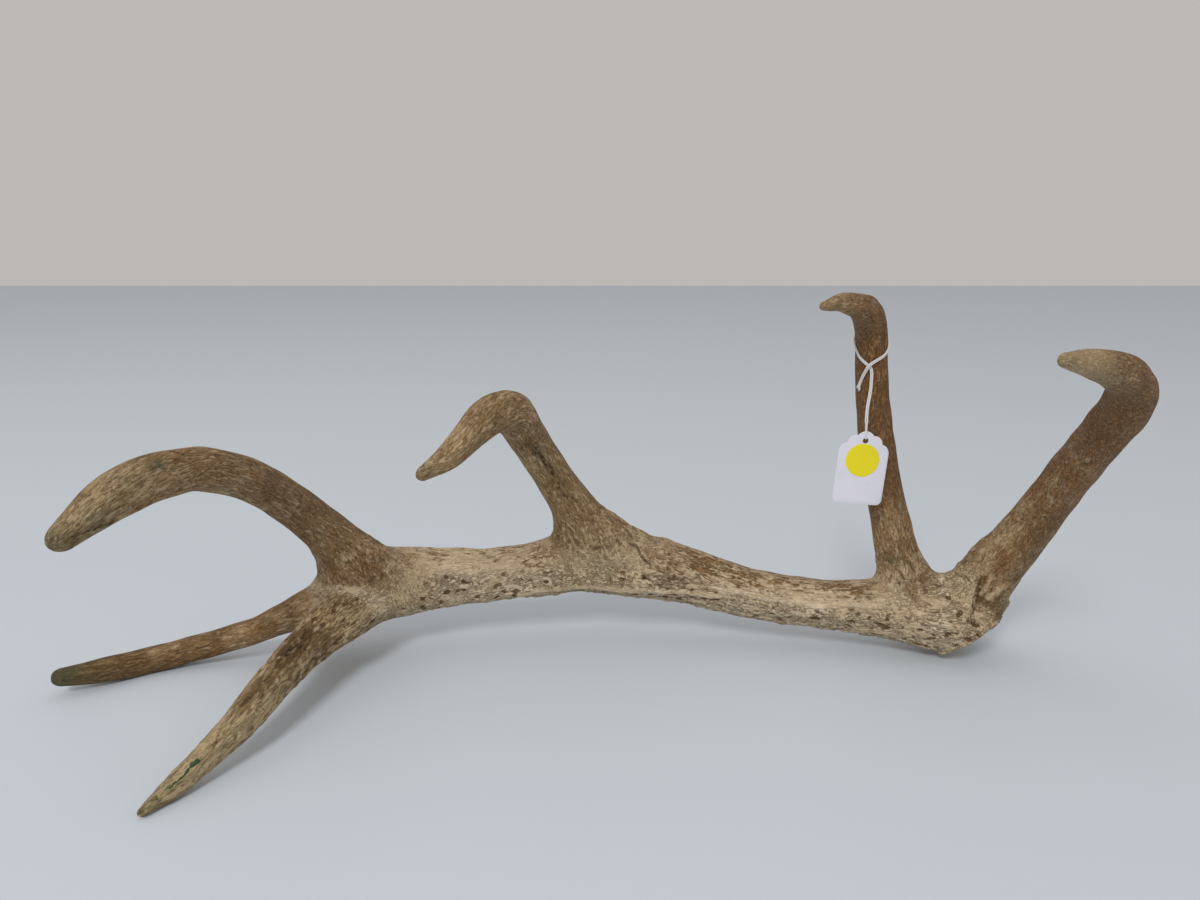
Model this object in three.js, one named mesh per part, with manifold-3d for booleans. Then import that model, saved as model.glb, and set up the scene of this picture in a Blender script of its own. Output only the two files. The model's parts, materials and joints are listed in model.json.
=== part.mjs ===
// A red deer antler, sawn off below its burr, lying on a table with a small price card tied round
// its second tine.
// Millimetres, +Z up. The origin is on the table, under the middle of the antler. X runs along the
// antler: the burr, where it grew from the skull, is at +X and the crown of three tines at -X.
// Every tine hooks towards -Y. The antler rests on three places: the rim of the burr, the back
// crown tine and the tip of the front crown tine.
import * as THREE from "three";
import { mergeVertices } from "three/addons/utils/BufferGeometryUtils.js";
import Module from "manifold-3d";

const wasm = await Module();
wasm.setup();

// ---- driving dimensions ----

const jointGap = 0.3; // between two lengths of antler that meet at a fork
const beamSides = 22; // faces round the beam
const tineSides = 16; // faces round a tine
const ringPitch = 9; // between two rings along a branch
const noseRings = 3; // rings that round off a tip
const halfSpace = 700; // a block larger than the antler, for cutting at a plane

// The sawn end below the burr: a point on it and the way it faces.
const sawnPoint = new THREE.Vector3(248.6, 62.5, 17.5);
const sawnFacing = new THREE.Vector3(0.62, -0.25, -0.74).normalize();

// A branch is its middle line from root to tip, as [x, y, z, half width, half thickness].
// The width is measured along `wide`, the thickness across it. `nose` is how far the tip is drawn
// out beyond its last point, in half widths. `furrows` counts the ridges round it, and `knobs` is the
// height of the knobs at its root, as a share of its size.
const beam = {
  wide: new THREE.Vector3(0, 0, 1),
  nose: 0.6,
  furrows: 5,
  knobs: 0.06,
  sides: beamSides,
  line: [
    [264, 61.5, -1, 27, 24.9],
    [250, 62.5, 16.5, 26.5, 24.9],
    [237, 63.5, 25.5, 25.1, 24.4],
    [220.5, 64.5, 28, 22.8, 22.3],
    [199.5, 68, 28.5, 19.1, 19.1],
    [169, 73, 28, 15.7, 15.9],
    [139, 77.5, 30, 15.1, 14.8],
    [107.5, 81.5, 35, 15.9, 15.4],
    [77, 85, 42.5, 17.8, 15.9],
    [45.5, 87, 47, 19.6, 16.4],
    [14, 88, 49, 18.6, 16.4],
    [-18, 87, 46, 17, 15.4],
    [-49.5, 83.5, 43.5, 17, 15.4],
    [-80, 78.5, 43.5, 19.6, 15.9],
    [-106.5, 72, 41.5, 22.3, 17],
    [-133.5, 64.5, 37, 20.1, 17],
  ],
};

const browTine = {
  wide: new THREE.Vector3(1, 0, 0),
  nose: 1.4,
  furrows: 4,
  knobs: 0,
  sides: tineSides,
  line: [
    [247, 63.5, 27.5, 19.6, 19.1],
    [248.5, 60.5, 42, 18, 17.5],
    [255, 54, 60, 16.5, 15.9],
    [266, 39, 90.5, 13.8, 13.8],
    [272.5, 19, 122.5, 12.5, 12.7],
    [274.5, -6.5, 152, 11.4, 11.7],
    [272.5, -27.5, 170.5, 11.7, 11.7],
    [264.5, -43.5, 183.5, 10.8, 10.6],
    [248, -58.5, 192, 8.7, 8.7],
    [227, -75.5, 197.5, 6.4, 6.4],
    [209, -90, 200.5, 4, 4],
  ],
};

const bezTine = {
  wide: new THREE.Vector3(1, 0, 0),
  nose: 1.4,
  furrows: 4,
  knobs: 0,
  sides: tineSides,
  line: [
    [210.5, 69, 32, 21.2, 17],
    [207, 69, 46, 17.5, 14.8],
    [202.5, 68, 61.5, 13.4, 12.7],
    [195.5, 67, 85.5, 11.4, 11.7],
    [188.5, 64.5, 111, 10.4, 11.1],
    [180.5, 59.5, 142, 10, 10.6],
    [174, 52, 172, 9.2, 9.5],
    [170, 44.5, 195.5, 8.8, 9],
    [164, 34, 210, 8.8, 8.5],
    [155, 21, 215.5, 6.9, 6.9],
    [144, 9.5, 217.5, 5.3, 5.3],
    [131.5, -3.5, 217.5, 3.5, 3.5],
  ],
};

const trezTine = {
  wide: new THREE.Vector3(1, 0, 0),
  nose: 1.4,
  furrows: 4,
  knobs: 0,
  sides: tineSides,
  line: [
    [27.5, 88, 49, 39.2, 14.8],
    [17, 83.5, 66, 24.9, 13.8],
    [6.5, 77.5, 88, 14.4, 12.7],
    [-6.5, 67, 112, 11.4, 11.7],
    [-19, 52, 136.5, 11.4, 11.1],
    [-27.5, 36, 154.5, 12.2, 11.7],
    [-36, 21, 159, 11.4, 10.6],
    [-46, 4, 152, 8.5, 8.5],
    [-57, -9.5, 141.5, 6.4, 6.4],
    [-67, -20, 136, 3.8, 3.8],
  ],
};

const crownTopTine = {
  wide: new THREE.Vector3(1, 0, 0),
  nose: 1,
  furrows: 4,
  knobs: 0,
  sides: tineSides,
  line: [
    [-122, 65.5, 38, 31.8, 18],
    [-126.5, 57, 60.5, 22.8, 15.9],
    [-138, 42.5, 85.5, 14.1, 13.2],
    [-150.5, 18, 111, 10.9, 11.7],
    [-160, -8.5, 130, 10.1, 11.1],
    [-171.5, -36, 141.5, 10.1, 11.1],
    [-183.5, -60.5, 142.5, 10.4, 11.1],
    [-194, -80.5, 137.5, 9.8, 10.1],
    [-203.5, -95.5, 128.5, 7, 7.4],
  ],
};

const crownBackTine = {
  wide: new THREE.Vector3(0, 0, 1),
  nose: 1.2,
  furrows: 3,
  knobs: 0,
  sides: tineSides,
  line: [
    [-125, 64.5, 37, 20.1, 17],
    [-153.5, 58.5, 32, 13.2, 13.8],
    [-173, 54, 25.5, 9.3, 10.1],
    [-191.5, 53, 18.5, 7.8, 8.5],
    [-220.5, 50, 11, 7.6, 8.3],
    [-246, 39, 7.8, 7.6, 8],
    [-266, 22.5, 9, 6.9, 7.2],
    [-280.5, 10.5, 11, 5.1, 5.3],
  ],
};

const crownFrontTine = {
  wide: new THREE.Vector3(1, 0, 0),
  nose: 1.3,
  furrows: 4,
  knobs: 0,
  sides: tineSides,
  line: [
    [-127, 65.5, 35, 23.3, 18],
    [-135, 38, 31.5, 18, 15.9],
    [-143, 14, 28.5, 12.9, 12.7],
    [-149, -19, 25, 9.9, 10.6],
    [-155.5, -50, 18.5, 8.3, 8.8],
    [-165, -72, 11.5, 6.4, 6.9],
    [-173.5, -87, 6, 5.2, 5.3],
    [-180, -99.5, 3.4, 3.4, 3.5],
  ],
};

// Where the antler is parted at its forks: a point on the plane and the way to the outer piece.
const partings = {
  brow: { point: [254.5, 54.5, 59.5], facing: [0.3, -0.35, 0.89] },
  bez: { point: [202, 68, 61.5], facing: [-0.27, 0, 0.96] },
  trez: { point: [7, 78, 86], facing: [-0.45, -0.3, 0.84] },
  crownTop: { point: [-138, 43, 83.5], facing: [-0.35, -0.52, 0.78] },
  crownBack: { point: [-169.5, 54.5, 26.5], facing: [-0.95, -0.1, -0.3] },
  crownFront: { point: [-143, 16, 28.5], facing: [-0.22, -0.97, -0.1] },
  lowerToMiddle: { point: [159, 74, 29.5], facing: [-1, 0.13, 0] },
  middleToUpper: { point: [-24.5, 87, 46.5], facing: [-1, 0, 0] },
};

// The price card, in its own plane: x to its right, y up, the middle of its hole at (0, 0).
const card = {
  thickness: 0.4,
  halfWidth: 14.2,
  bottom: -37,
  cornerRadius: 3.2,
  holeRadius: 1.6,
  holeSides: 16,
  neck: [4.5, 2.9], // where the round top over the hole ends
  notch: [9.8, -1.6], // between the two scallops of a shoulder
  shoulder: [14.2, -7], // where a shoulder runs into the straight side
  topRadius: 5.4,
  scallopRadius: 4.6,
  arcPoints: 5, // along a scallop or a corner
  hang: [168.9, 39.5, 139.8], // where its hole hangs
  askew: THREE.MathUtils.degToRad(-4.5),
};

// The round sticker on the card's front.
const sticker = { radius: 9.5, thickness: 0.2, gap: 0.15, centre: [-0.2, -11.3], sides: 32 };

// The doubled string: from the frayed knot at its tail up the front of the tine, over itself,
// round the back of the tine, and down to the top of the card.
const string = {
  diameter: 1.8,
  sides: 8,
  steps: 44,
  route: [
    [164.6, 48.6, 168.3],
    [164.9, 45.3, 172.1],
    [165.4, 41.1, 176.7],
    [166.7, 37.4, 180.6],
    [169, 36.4, 182.8],
    [171.5, 37, 184.4],
    [174.5, 37.5, 186.2],
    [177.5, 38.3, 188.5],
    [179.6, 40.3, 191.9],
    [180.1, 43.1, 195.3],
    [179.1, 45.8, 198.8],
    [177.2, 48.4, 201.7],
    [174, 50.9, 203.5],
    [169.6, 52, 203.1],
    [165.4, 52, 201.2],
    [162.1, 51.2, 198],
    [160.7, 49, 194.4],
    [161, 46.3, 191.2],
    [161.9, 44.1, 188.3],
    [163, 42, 185.8],
    [164.9, 40.1, 183.6],
    [167.1, 39.1, 181.9],
    [169.3, 39, 179.9],
    [170, 38.8, 175.5],
    [169.9, 39.1, 169.1],
    [169, 39.5, 161.7],
    [168.6, 39.5, 155],
    [168.7, 39.5, 149.3],
    [168.8, 39.5, 145.9],
  ],
};

// ---- from three.js geometry to a solid and back ----

function toSolid(geometry) {
  const bare = geometry.clone();
  bare.deleteAttribute("normal");
  bare.deleteAttribute("uv");
  const merged = mergeVertices(bare, 1e-4);
  return new wasm.Manifold(
    new wasm.Mesh({
      numProp: 3,
      vertProperties: merged.getAttribute("position").array,
      triVerts: new Uint32Array(merged.index.array),
    }),
  );
}

function toGeometry(solid) {
  const mesh = solid.getMesh();
  const geometry = new THREE.BufferGeometry();
  geometry.setAttribute("position", new THREE.BufferAttribute(mesh.vertProperties, mesh.numProp));
  geometry.setIndex(new THREE.BufferAttribute(mesh.triVerts, 1));
  const flat = geometry.toNonIndexed();
  flat.computeVertexNormals();
  return flat;
}

// A block whose near face lies on a plane and which fills all the space beyond it.
function beyond(point, facing, offset = 0) {
  const block = new THREE.BoxGeometry(halfSpace, halfSpace, halfSpace);
  const away = new THREE.Vector3(...facing).normalize();
  const turn = new THREE.Quaternion().setFromUnitVectors(new THREE.Vector3(0, 0, 1), away);
  const centre = new THREE.Vector3(...point).addScaledVector(away, halfSpace / 2 + offset);
  block.applyQuaternion(turn);
  block.translate(centre.x, centre.y, centre.z);
  return toSolid(block);
}

// ---- the antler ----

// Long ridges and furrows that wind slowly round a branch, with low lumps between them and
// coarse knobs towards the burr. `angle` goes round the branch, `along` is the distance from its root.
function relief(angle, along, { furrows, knobs }) {
  const ridges = 0.035 * Math.cos(furrows * angle + 0.014 * along);
  const seams = 0.02 * Math.cos((furrows - 2) * angle - 0.03 * along + 1.1);
  const lumps = 0.018 * Math.sin(0.17 * along + 2 * angle) * Math.cos(3 * angle - 0.09 * along);
  const rim = knobs * Math.exp(-((along / 40) ** 2)) * Math.cos(7 * angle + 0.6);
  return 1 + ridges + seams + lumps + rim;
}

// A turned rod of radius 1 and height 1 with a rounded top, whose height is then laid along the
// branch's middle line and whose radius is stretched to the branch's width and thickness.
function branchSolid(branch) {
  const middle = new THREE.CatmullRomCurve3(
    branch.line.map(([x, y, z]) => new THREE.Vector3(x, y, z)),
    false,
    "catmullrom",
    0.5,
  );
  const girth = new THREE.CatmullRomCurve3(
    branch.line.map(([, , , width, thickness]) => new THREE.Vector3(width, thickness, 0)),
    false,
    "catmullrom",
    0.5,
  );
  const length = middle.getLength();
  const rings = Math.round(length / ringPitch);
  const profile = [new THREE.Vector2(0, 0)];
  for (let i = 0; i <= rings; i++) {
    profile.push(new THREE.Vector2(1, i / rings));
  }
  for (let i = 1; i <= noseRings; i++) {
    const rise = ((Math.PI / 2) * i) / (noseRings + 1);
    profile.push(new THREE.Vector2(Math.cos(rise), 1 + Math.sin(rise)));
  }
  profile.push(new THREE.Vector2(0, 2));
  const rod = new THREE.LatheGeometry(profile, branch.sides);

  const position = rod.getAttribute("position");
  const vertex = new THREE.Vector3();
  for (let i = 0; i < position.count; i++) {
    vertex.fromBufferAttribute(position, i);
    const share = Math.hypot(vertex.x, vertex.z);
    const angle = Math.atan2(vertex.x, vertex.z);
    const t = middle.getUtoTmapping(Math.min(vertex.y, 1));
    const size = girth.getPoint(t);
    const forward = middle.getTangent(t);
    const across = branch.wide.clone().addScaledVector(forward, -branch.wide.dot(forward)).normalize();
    const side = new THREE.Vector3().crossVectors(forward, across);
    const swell = share * relief(angle, length * Math.min(vertex.y, 1), branch);
    const place = middle
      .getPoint(t)
      .addScaledVector(across, Math.cos(angle) * size.x * swell)
      .addScaledVector(side, Math.sin(angle) * size.y * swell)
      .addScaledVector(forward, Math.max(vertex.y - 1, 0) * branch.nose * size.x);
    position.setXYZ(i, place.x, place.y, place.z);
  }
  return toSolid(rod);
}

// Parts a branch at a plane: the root stays with what carries it, the rest is a piece of its own.
function part(solid, { point, facing }) {
  return {
    root: solid.subtract(beyond(point, facing, -jointGap / 2)),
    tip: solid.intersect(beyond(point, facing, jointGap / 2)),
  };
}

function antlerPieces() {
  const brow = part(branchSolid(browTine), partings.brow);
  const bez = part(branchSolid(bezTine), partings.bez);
  const trez = part(branchSolid(trezTine), partings.trez);
  const crownTop = part(branchSolid(crownTopTine), partings.crownTop);
  const crownBack = part(branchSolid(crownBackTine), partings.crownBack);
  const crownFront = part(branchSolid(crownFrontTine), partings.crownFront);
  const trunk = branchSolid(beam)
    .add(brow.root)
    .add(bez.root)
    .add(trez.root)
    .add(crownTop.root)
    .add(crownBack.root)
    .add(crownFront.root)
    .subtract(beyond(sawnPoint.toArray(), sawnFacing.toArray()));
  const lower = part(trunk, partings.lowerToMiddle);
  const middle = part(lower.tip, partings.middleToUpper);
  return {
    lower_beam: lower.root,
    middle_beam: middle.root,
    upper_beam: middle.tip,
    brow_tine: brow.tip,
    bez_tine: bez.tip,
    trez_tine: trez.tip,
    crown_top_tine: crownTop.tip,
    crown_back_tine: crownBack.tip,
    crown_front_tine: crownFront.tip,
  };
}

// ---- what is tied to it ----

// Carries an outline on to its next corner by an arc that bulges to the left of the way there.
function arcTo(outline, [x, y], radius) {
  const from = outline.currentPoint.clone();
  const half = new THREE.Vector2(x, y).sub(from).multiplyScalar(0.5);
  const depth = Math.sqrt(radius ** 2 - half.lengthSq());
  const inward = new THREE.Vector2(half.y, -half.x).normalize();
  const centre = from.clone().add(half).addScaledVector(inward, depth);
  const start = from.clone().sub(centre).angle();
  const turn = 2 * Math.asin(half.length() / radius);
  for (let i = 1; i <= card.arcPoints; i++) {
    const angle = start - (turn * i) / card.arcPoints;
    outline.lineTo(centre.x + radius * Math.cos(angle), centre.y + radius * Math.sin(angle));
  }
}

const mirrored = ([x, y]) => [-x, y];

function cardGeometry() {
  const { halfWidth, bottom, cornerRadius, neck, notch, shoulder } = card;
  const outline = new THREE.Shape();
  outline.moveTo(-halfWidth, bottom + cornerRadius);
  outline.lineTo(...mirrored(shoulder));
  arcTo(outline, mirrored(notch), card.scallopRadius);
  arcTo(outline, mirrored(neck), card.scallopRadius);
  arcTo(outline, neck, card.topRadius);
  arcTo(outline, notch, card.scallopRadius);
  arcTo(outline, shoulder, card.scallopRadius);
  outline.lineTo(halfWidth, bottom + cornerRadius);
  arcTo(outline, [halfWidth - cornerRadius, bottom], cornerRadius);
  outline.lineTo(cornerRadius - halfWidth, bottom);
  arcTo(outline, [-halfWidth, bottom + cornerRadius], cornerRadius);
  const hole = new THREE.Path();
  hole.absarc(0, 0, card.holeRadius, 0, 2 * Math.PI);
  outline.holes.push(hole);
  const sheet = new THREE.ExtrudeGeometry(outline, {
    depth: card.thickness,
    bevelEnabled: false,
    curveSegments: card.holeSides / 2,
  });
  sheet.translate(0, 0, -card.thickness / 2);
  return sheet;
}

function stickerGeometry() {
  const { radius, thickness, sides } = sticker;
  return new THREE.CylinderGeometry(radius, radius, thickness, sides).rotateX(Math.PI / 2);
}

function stringGeometry() {
  const section = new THREE.Shape();
  section.absarc(0, 0, string.diameter / 2, 0, 2 * Math.PI);
  return new THREE.ExtrudeGeometry(section, {
    steps: string.steps,
    curveSegments: string.sides / 2,
    extrudePath: new THREE.CatmullRomCurve3(string.route.map((point) => new THREE.Vector3(...point))),
  });
}

// ---- the group ----

function piece(name, geometry, color, roughness) {
  const mesh = new THREE.Mesh(geometry, new THREE.MeshStandardMaterial({ color, roughness, metalness: 0 }));
  mesh.name = name;
  return mesh;
}

const paleBone = 0xab9473; // the beam, worn and pitted
const brownBone = 0x6f5840; // the upright tines
const greyBone = 0x83705a; // the tips of the crown
const colourOf = {
  lower_beam: paleBone,
  middle_beam: paleBone,
  upper_beam: paleBone,
  brow_tine: brownBone,
  bez_tine: brownBone,
  trez_tine: greyBone,
  crown_top_tine: greyBone,
  crown_back_tine: brownBone,
  crown_front_tine: paleBone,
};
const boneRoughness = 0.75;
const paperRoughness = 0.85;

const antler = new THREE.Group();
antler.name = "deer_antler";
for (const [name, solid] of Object.entries(antlerPieces())) {
  antler.add(piece(name, toGeometry(solid), colourOf[name], boneRoughness));
}

// The tag is a group of its own: stood upright to face -Y, then hung a little askew.
const tag = new THREE.Group();
tag.position.set(...card.hang);
tag.rotation.set(Math.PI / 2, 0, card.askew, "XZY");
const priceCard = piece("price_tag", cardGeometry(), 0xe9e9ef, paperRoughness);
const dot = piece("tag_sticker", stickerGeometry(), 0xe6cf1e, paperRoughness);
dot.position.set(...sticker.centre, card.thickness / 2 + sticker.gap + sticker.thickness / 2);
tag.add(priceCard, dot);
antler.add(tag);
antler.add(piece("tag_string", stringGeometry(), 0xe8e6e2, 1));

export default antler;
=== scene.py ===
import itertools
import json
import math

import bpy
import numpy as np
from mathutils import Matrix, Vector

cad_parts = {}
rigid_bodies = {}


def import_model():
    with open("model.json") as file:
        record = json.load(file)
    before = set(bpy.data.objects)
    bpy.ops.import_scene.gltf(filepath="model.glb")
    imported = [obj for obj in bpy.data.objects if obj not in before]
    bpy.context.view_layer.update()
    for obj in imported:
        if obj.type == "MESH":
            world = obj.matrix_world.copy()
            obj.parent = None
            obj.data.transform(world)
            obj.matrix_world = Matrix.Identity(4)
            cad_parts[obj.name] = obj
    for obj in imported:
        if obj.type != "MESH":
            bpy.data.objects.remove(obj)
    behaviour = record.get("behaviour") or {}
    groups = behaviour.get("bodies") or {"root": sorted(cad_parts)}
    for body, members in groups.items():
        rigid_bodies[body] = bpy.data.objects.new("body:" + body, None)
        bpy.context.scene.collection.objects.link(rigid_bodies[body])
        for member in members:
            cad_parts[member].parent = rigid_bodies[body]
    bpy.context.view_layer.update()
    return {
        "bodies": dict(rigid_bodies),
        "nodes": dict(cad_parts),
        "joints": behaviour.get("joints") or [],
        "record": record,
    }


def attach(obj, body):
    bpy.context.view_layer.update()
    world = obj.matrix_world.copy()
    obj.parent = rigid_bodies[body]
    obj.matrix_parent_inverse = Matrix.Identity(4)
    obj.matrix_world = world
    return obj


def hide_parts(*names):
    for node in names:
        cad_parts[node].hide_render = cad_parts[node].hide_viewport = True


# A red deer antler lying on a table, with a bare price card tied round its second tine.
# Camera, stage and lamps are in metres, in the frame of the CAD part. The antler, the card and the
# string are worked out in millimetres of the same frame, and makeMesh turns them into metres.

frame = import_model()
scene = bpy.context.scene
mm = 0.001

cameraView = {
    "place": (0.02014, -0.45368, 0.2438),
    "pitchDown": 12.5,  # degrees below level
    "lens": 27.0,
    "sensor": 36.0,
}

studio = {
    "floorHalf": 6.0,
    "floorColor": (0.675, 0.75, 0.825, 1.0),
    "skyColor": (1.0, 0.955, 0.93, 1.0),
    "skyStrength": 0.5,
    # each lamp: place, the point it faces, side of its square, watts, colour
    "lamps": {
        "key": ((-0.85, -2.75, 2.45), (0.0, 0.05, 0.05), 0.85, 56.0, (1.0, 0.985, 0.965)),
        "ceiling": ((-0.8, 0.3, 2.4), (0.0, 0.05, 0.05), 2.2, 4.5, (1.0, 0.975, 0.95)),
    },
}


def makeCamera():
    data = bpy.data.cameras.new("camera")
    data.lens = cameraView["lens"]
    data.sensor_width = cameraView["sensor"]
    data.clip_start = 0.01
    camera = bpy.data.objects.new("camera", data)
    camera.location = cameraView["place"]
    camera.rotation_euler = (math.radians(90 - cameraView["pitchDown"]), 0, 0)
    scene.collection.objects.link(camera)
    scene.camera = camera


def makeLamps():
    world = bpy.data.worlds.new("sky")
    world.use_nodes = True
    sky = world.node_tree.nodes["Background"]
    sky.inputs["Color"].default_value = studio["skyColor"]
    sky.inputs["Strength"].default_value = studio["skyStrength"]
    scene.world = world
    for name, (place, aim, side, power, color) in studio["lamps"].items():
        data = bpy.data.lights.new(name, "AREA")
        data.shape = "SQUARE"
        data.size = side
        data.energy = power
        data.color = color
        lamp = bpy.data.objects.new(name, data)
        lamp.location = place
        direction = lamp.location - Vector(aim)
        lamp.rotation_euler = direction.to_track_quat("Z", "Y").to_euler()
        scene.collection.objects.link(lamp)


makeCamera()
makeLamps()
scene.view_settings.view_transform = "Standard"
print("camera and lamps stand")


class Wire:
    # a shader socket that takes part in sums: each operator adds its own Math node
    def __init__(self, finish, socket):
        self.finish = finish
        self.socket = socket

    def __add__(self, other):
        return self.finish.sum("ADD", self, other)

    def __radd__(self, other):
        return self.finish.sum("ADD", other, self)

    def __sub__(self, other):
        return self.finish.sum("SUBTRACT", self, other)

    def __rsub__(self, other):
        return self.finish.sum("SUBTRACT", other, self)

    def __mul__(self, other):
        return self.finish.sum("MULTIPLY", self, other)

    def __rmul__(self, other):
        return self.finish.sum("MULTIPLY", other, self)


class Finish:
    # a material in the making, with its Principled shader ready
    def __init__(self, name):
        self.material = bpy.data.materials.new(name)
        self.material.use_nodes = True
        self.nodes = self.material.node_tree.nodes
        self.links = self.material.node_tree.links
        self.shader = self.nodes["Principled BSDF"]

    # any node: its settings first, then the values or wires of its sockets
    def node(self, kind, settings, sockets, output=0):
        made = self.nodes.new(kind)
        for name, value in settings.items():
            setattr(made, name, value)
        for name, value in sockets.items():
            self.feed(made.inputs[name], value)
        return Wire(self, made.outputs[output])

    def feed(self, socket, value):
        if isinstance(value, Wire):
            self.links.new(value.socket, socket)
        else:
            socket.default_value = value

    def sum(self, operation, first, second):
        return self.node("ShaderNodeMath", {"operation": operation}, {0: first, 1: second})

    # 0 below low, 1 above high, smooth between
    def step(self, value, low, high):
        sockets = {"Value": value, "From Min": low, "From Max": high}
        return self.node("ShaderNodeMapRange", {"interpolation_type": "SMOOTHSTEP"}, sockets)

    def blend(self, share, first, second):
        settings = {"data_type": "RGBA", "clamp_factor": True}
        return self.node("ShaderNodeMix", settings, {0: share, 6: first, 7: second}, output=2)

    # a value of the mesh's points, and with output=1 a vector of them
    def attribute(self, name, output=2):
        return self.node("ShaderNodeAttribute", {"attribute_name": name}, {}, output)

    def noise(self, coordinates, scale, detail=2.0, roughness=0.5, distortion=0.0):
        sockets = {"Vector": coordinates, "Scale": scale, "Detail": detail}
        sockets.update({"Roughness": roughness, "Distortion": distortion})
        return self.node("ShaderNodeTexNoise", {}, sockets)

    def magnitude(self, value):
        return self.sum("ABSOLUTE", value, 0.0)

    # 1 where the value is within low of zero, 0 from high on
    def line(self, value, low, high):
        return 1 - self.step(self.magnitude(value), low, high)

    def objectPlace(self):
        return self.node("ShaderNodeTexCoord", {}, {}, output=3)

    def bump(self, height, distance, strength=1.0):
        sockets = {"Height": height, "Distance": distance, "Strength": strength}
        return self.node("ShaderNodeBump", {}, sockets)

    def finish(self, sockets):
        for name, value in sockets.items():
            self.feed(self.shader.inputs[name], value)
        return self.material


def gridFaces(rows, columns, closed=False):
    # quads of a grid that closes on itself across its columns, and along its rows too if closed
    row = np.arange(rows if closed else rows - 1)[:, None]
    column = np.arange(columns)[None, :]
    here = row * columns
    above = (row + 1) % rows * columns
    ahead = (column + 1) % columns
    return np.stack([here + column, here + ahead, above + ahead, above + column], -1).reshape(-1, 4)


def fanFaces(ring, middle, turned=False):
    # triangles from a closed ring of point numbers to one point in its middle
    after = np.roll(ring, 1 if turned else -1)
    return np.stack([ring, after, np.full(len(ring), middle)], -1)


def tubeFaces(rows, columns):
    # quads between rings, and fans from the first and last ring to two points that come after them
    firstRing = np.arange(columns)
    fans = np.vstack([
        fanFaces(firstRing, rows * columns, turned=True),
        fanFaces(firstRing + (rows - 1) * columns, rows * columns + 1),
    ])
    return gridFaces(rows, columns), fans


def tubeSurface(line, across, beside, ends):
    # point(along, angle) = line + across * cos(angle) + beside * sin(angle), closed by a fan to a
    # point at each end; across and beside hold one vector for each ring and angle
    rows, columns = across.shape[:2]
    angle = 2 * np.pi * np.arange(columns) / columns
    rings = line[:, None, :] + across * np.cos(angle)[:, None] + beside * np.sin(angle)[:, None]
    return (np.vstack([rings.reshape(-1, 3), ends]), *tubeFaces(rows, columns))


def makeMesh(name, points, faceSets):
    # points are in mm; faceSets are arrays of faces, each of one number of corners
    mesh = bpy.data.meshes.new(name)
    corners = np.concatenate([faces.ravel() for faces in faceSets])
    sizes = np.concatenate([np.full(len(faces), faces.shape[1]) for faces in faceSets])
    mesh.vertices.add(len(points))
    mesh.vertices.foreach_set("co", np.asarray(points * mm, np.float32).ravel())
    mesh.loops.add(len(corners))
    mesh.loops.foreach_set("vertex_index", corners.astype(np.int32))
    mesh.polygons.add(len(sizes))
    mesh.polygons.foreach_set("loop_start", (np.cumsum(sizes) - sizes).astype(np.int32))
    mesh.update(calc_edges=True)
    mesh.shade_smooth()
    return mesh


def joinSurfaces(surfaces):
    # several surfaces of points, quads and triangles as one
    firsts = np.cumsum([0] + [len(points) for points, quads, fans in surfaces])[:-1]
    return (
        np.vstack([points for points, quads, fans in surfaces]),
        np.vstack([quads + first for (points, quads, fans), first in zip(surfaces, firsts)]),
        np.vstack([fans + first for (points, quads, fans), first in zip(surfaces, firsts)]),
    )


def makeObject(name, mesh, material=None):
    made = bpy.data.objects.new(name, mesh)
    scene.collection.objects.link(made)
    if material is not None:
        mesh.materials.append(material)
    return made


def giveAttribute(mesh, name, values):
    kind = "FLOAT" if values.ndim == 1 else "FLOAT_VECTOR"
    field = "value" if values.ndim == 1 else "vector"
    attribute = mesh.attributes.new(name, kind, "POINT")
    attribute.data.foreach_set(field, values.astype(np.float32).ravel())


def unit(vectors):
    return vectors / np.linalg.norm(vectors, axis=-1, keepdims=True)


def smoothStep(low, high, values):
    share = np.clip((values - low) / (high - low), 0, 1)
    return share * share * (3 - 2 * share)


def throughPoints(points, t):
    # Catmull-Rom curve: between two points a cubic whose slope at each is half the step between
    # its neighbours; t runs from 0 at the first point to 1 at the last
    points = np.asarray(points, float)
    spans = len(points) - 1
    padded = np.vstack([2 * points[0] - points[1], points, 2 * points[-1] - points[-2]])
    reach = np.clip(t, 0, 1) * spans
    span = np.minimum(reach.astype(int), spans - 1)
    w = (reach - span)[:, None]
    before, start, end, after = (padded[span + i] for i in range(4))
    slopeIn = (end - before) / 2
    slopeOut = (after - start) / 2
    cubic = 2 * start - 2 * end + slopeIn + slopeOut
    square = -3 * start + 3 * end - 2 * slopeIn - slopeOut
    return cubic * w**3 + square * w**2 + slopeIn * w + start


def evenSteps(points, spacing):
    # the t values that walk a Catmull-Rom curve in equal steps, and the distance at each
    t = np.linspace(0, 1, 60 * len(points))
    walked = throughPoints(points, t)[:, :3]
    along = np.r_[0, np.cumsum(np.linalg.norm(np.diff(walked, axis=0), axis=1))]
    steps = max(8, round(along[-1] / spacing))
    even = np.linspace(0, along[-1], steps + 1)
    return np.interp(even, along, t), even


noiseRandom = np.random.default_rng(11)
noiseOrder = np.tile(noiseRandom.permutation(256), 3)
noiseSlopes = unit(noiseRandom.normal(size=(256, 3)))


def noise(points):
    # gradient noise: the slopes at the eight corners of a point's cell, each times the way from
    # that corner to the point, blended by quintic shares; runs from about -0.7 to 0.7
    cell = np.floor(points).astype(int)
    inside = points - cell
    share = inside**3 * (inside * (inside * 6 - 15) + 10)
    total = np.zeros(len(points))
    for corner in itertools.product((0, 1), repeat=3):
        x, y, z = ((cell + corner) % 256).T
        slope = noiseSlopes[noiseOrder[noiseOrder[noiseOrder[x] + y] + z]]
        weight = np.prod(np.where(corner, share, 1 - share), axis=1)
        total += weight * ((inside - corner) * slope).sum(1)
    return total


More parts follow.
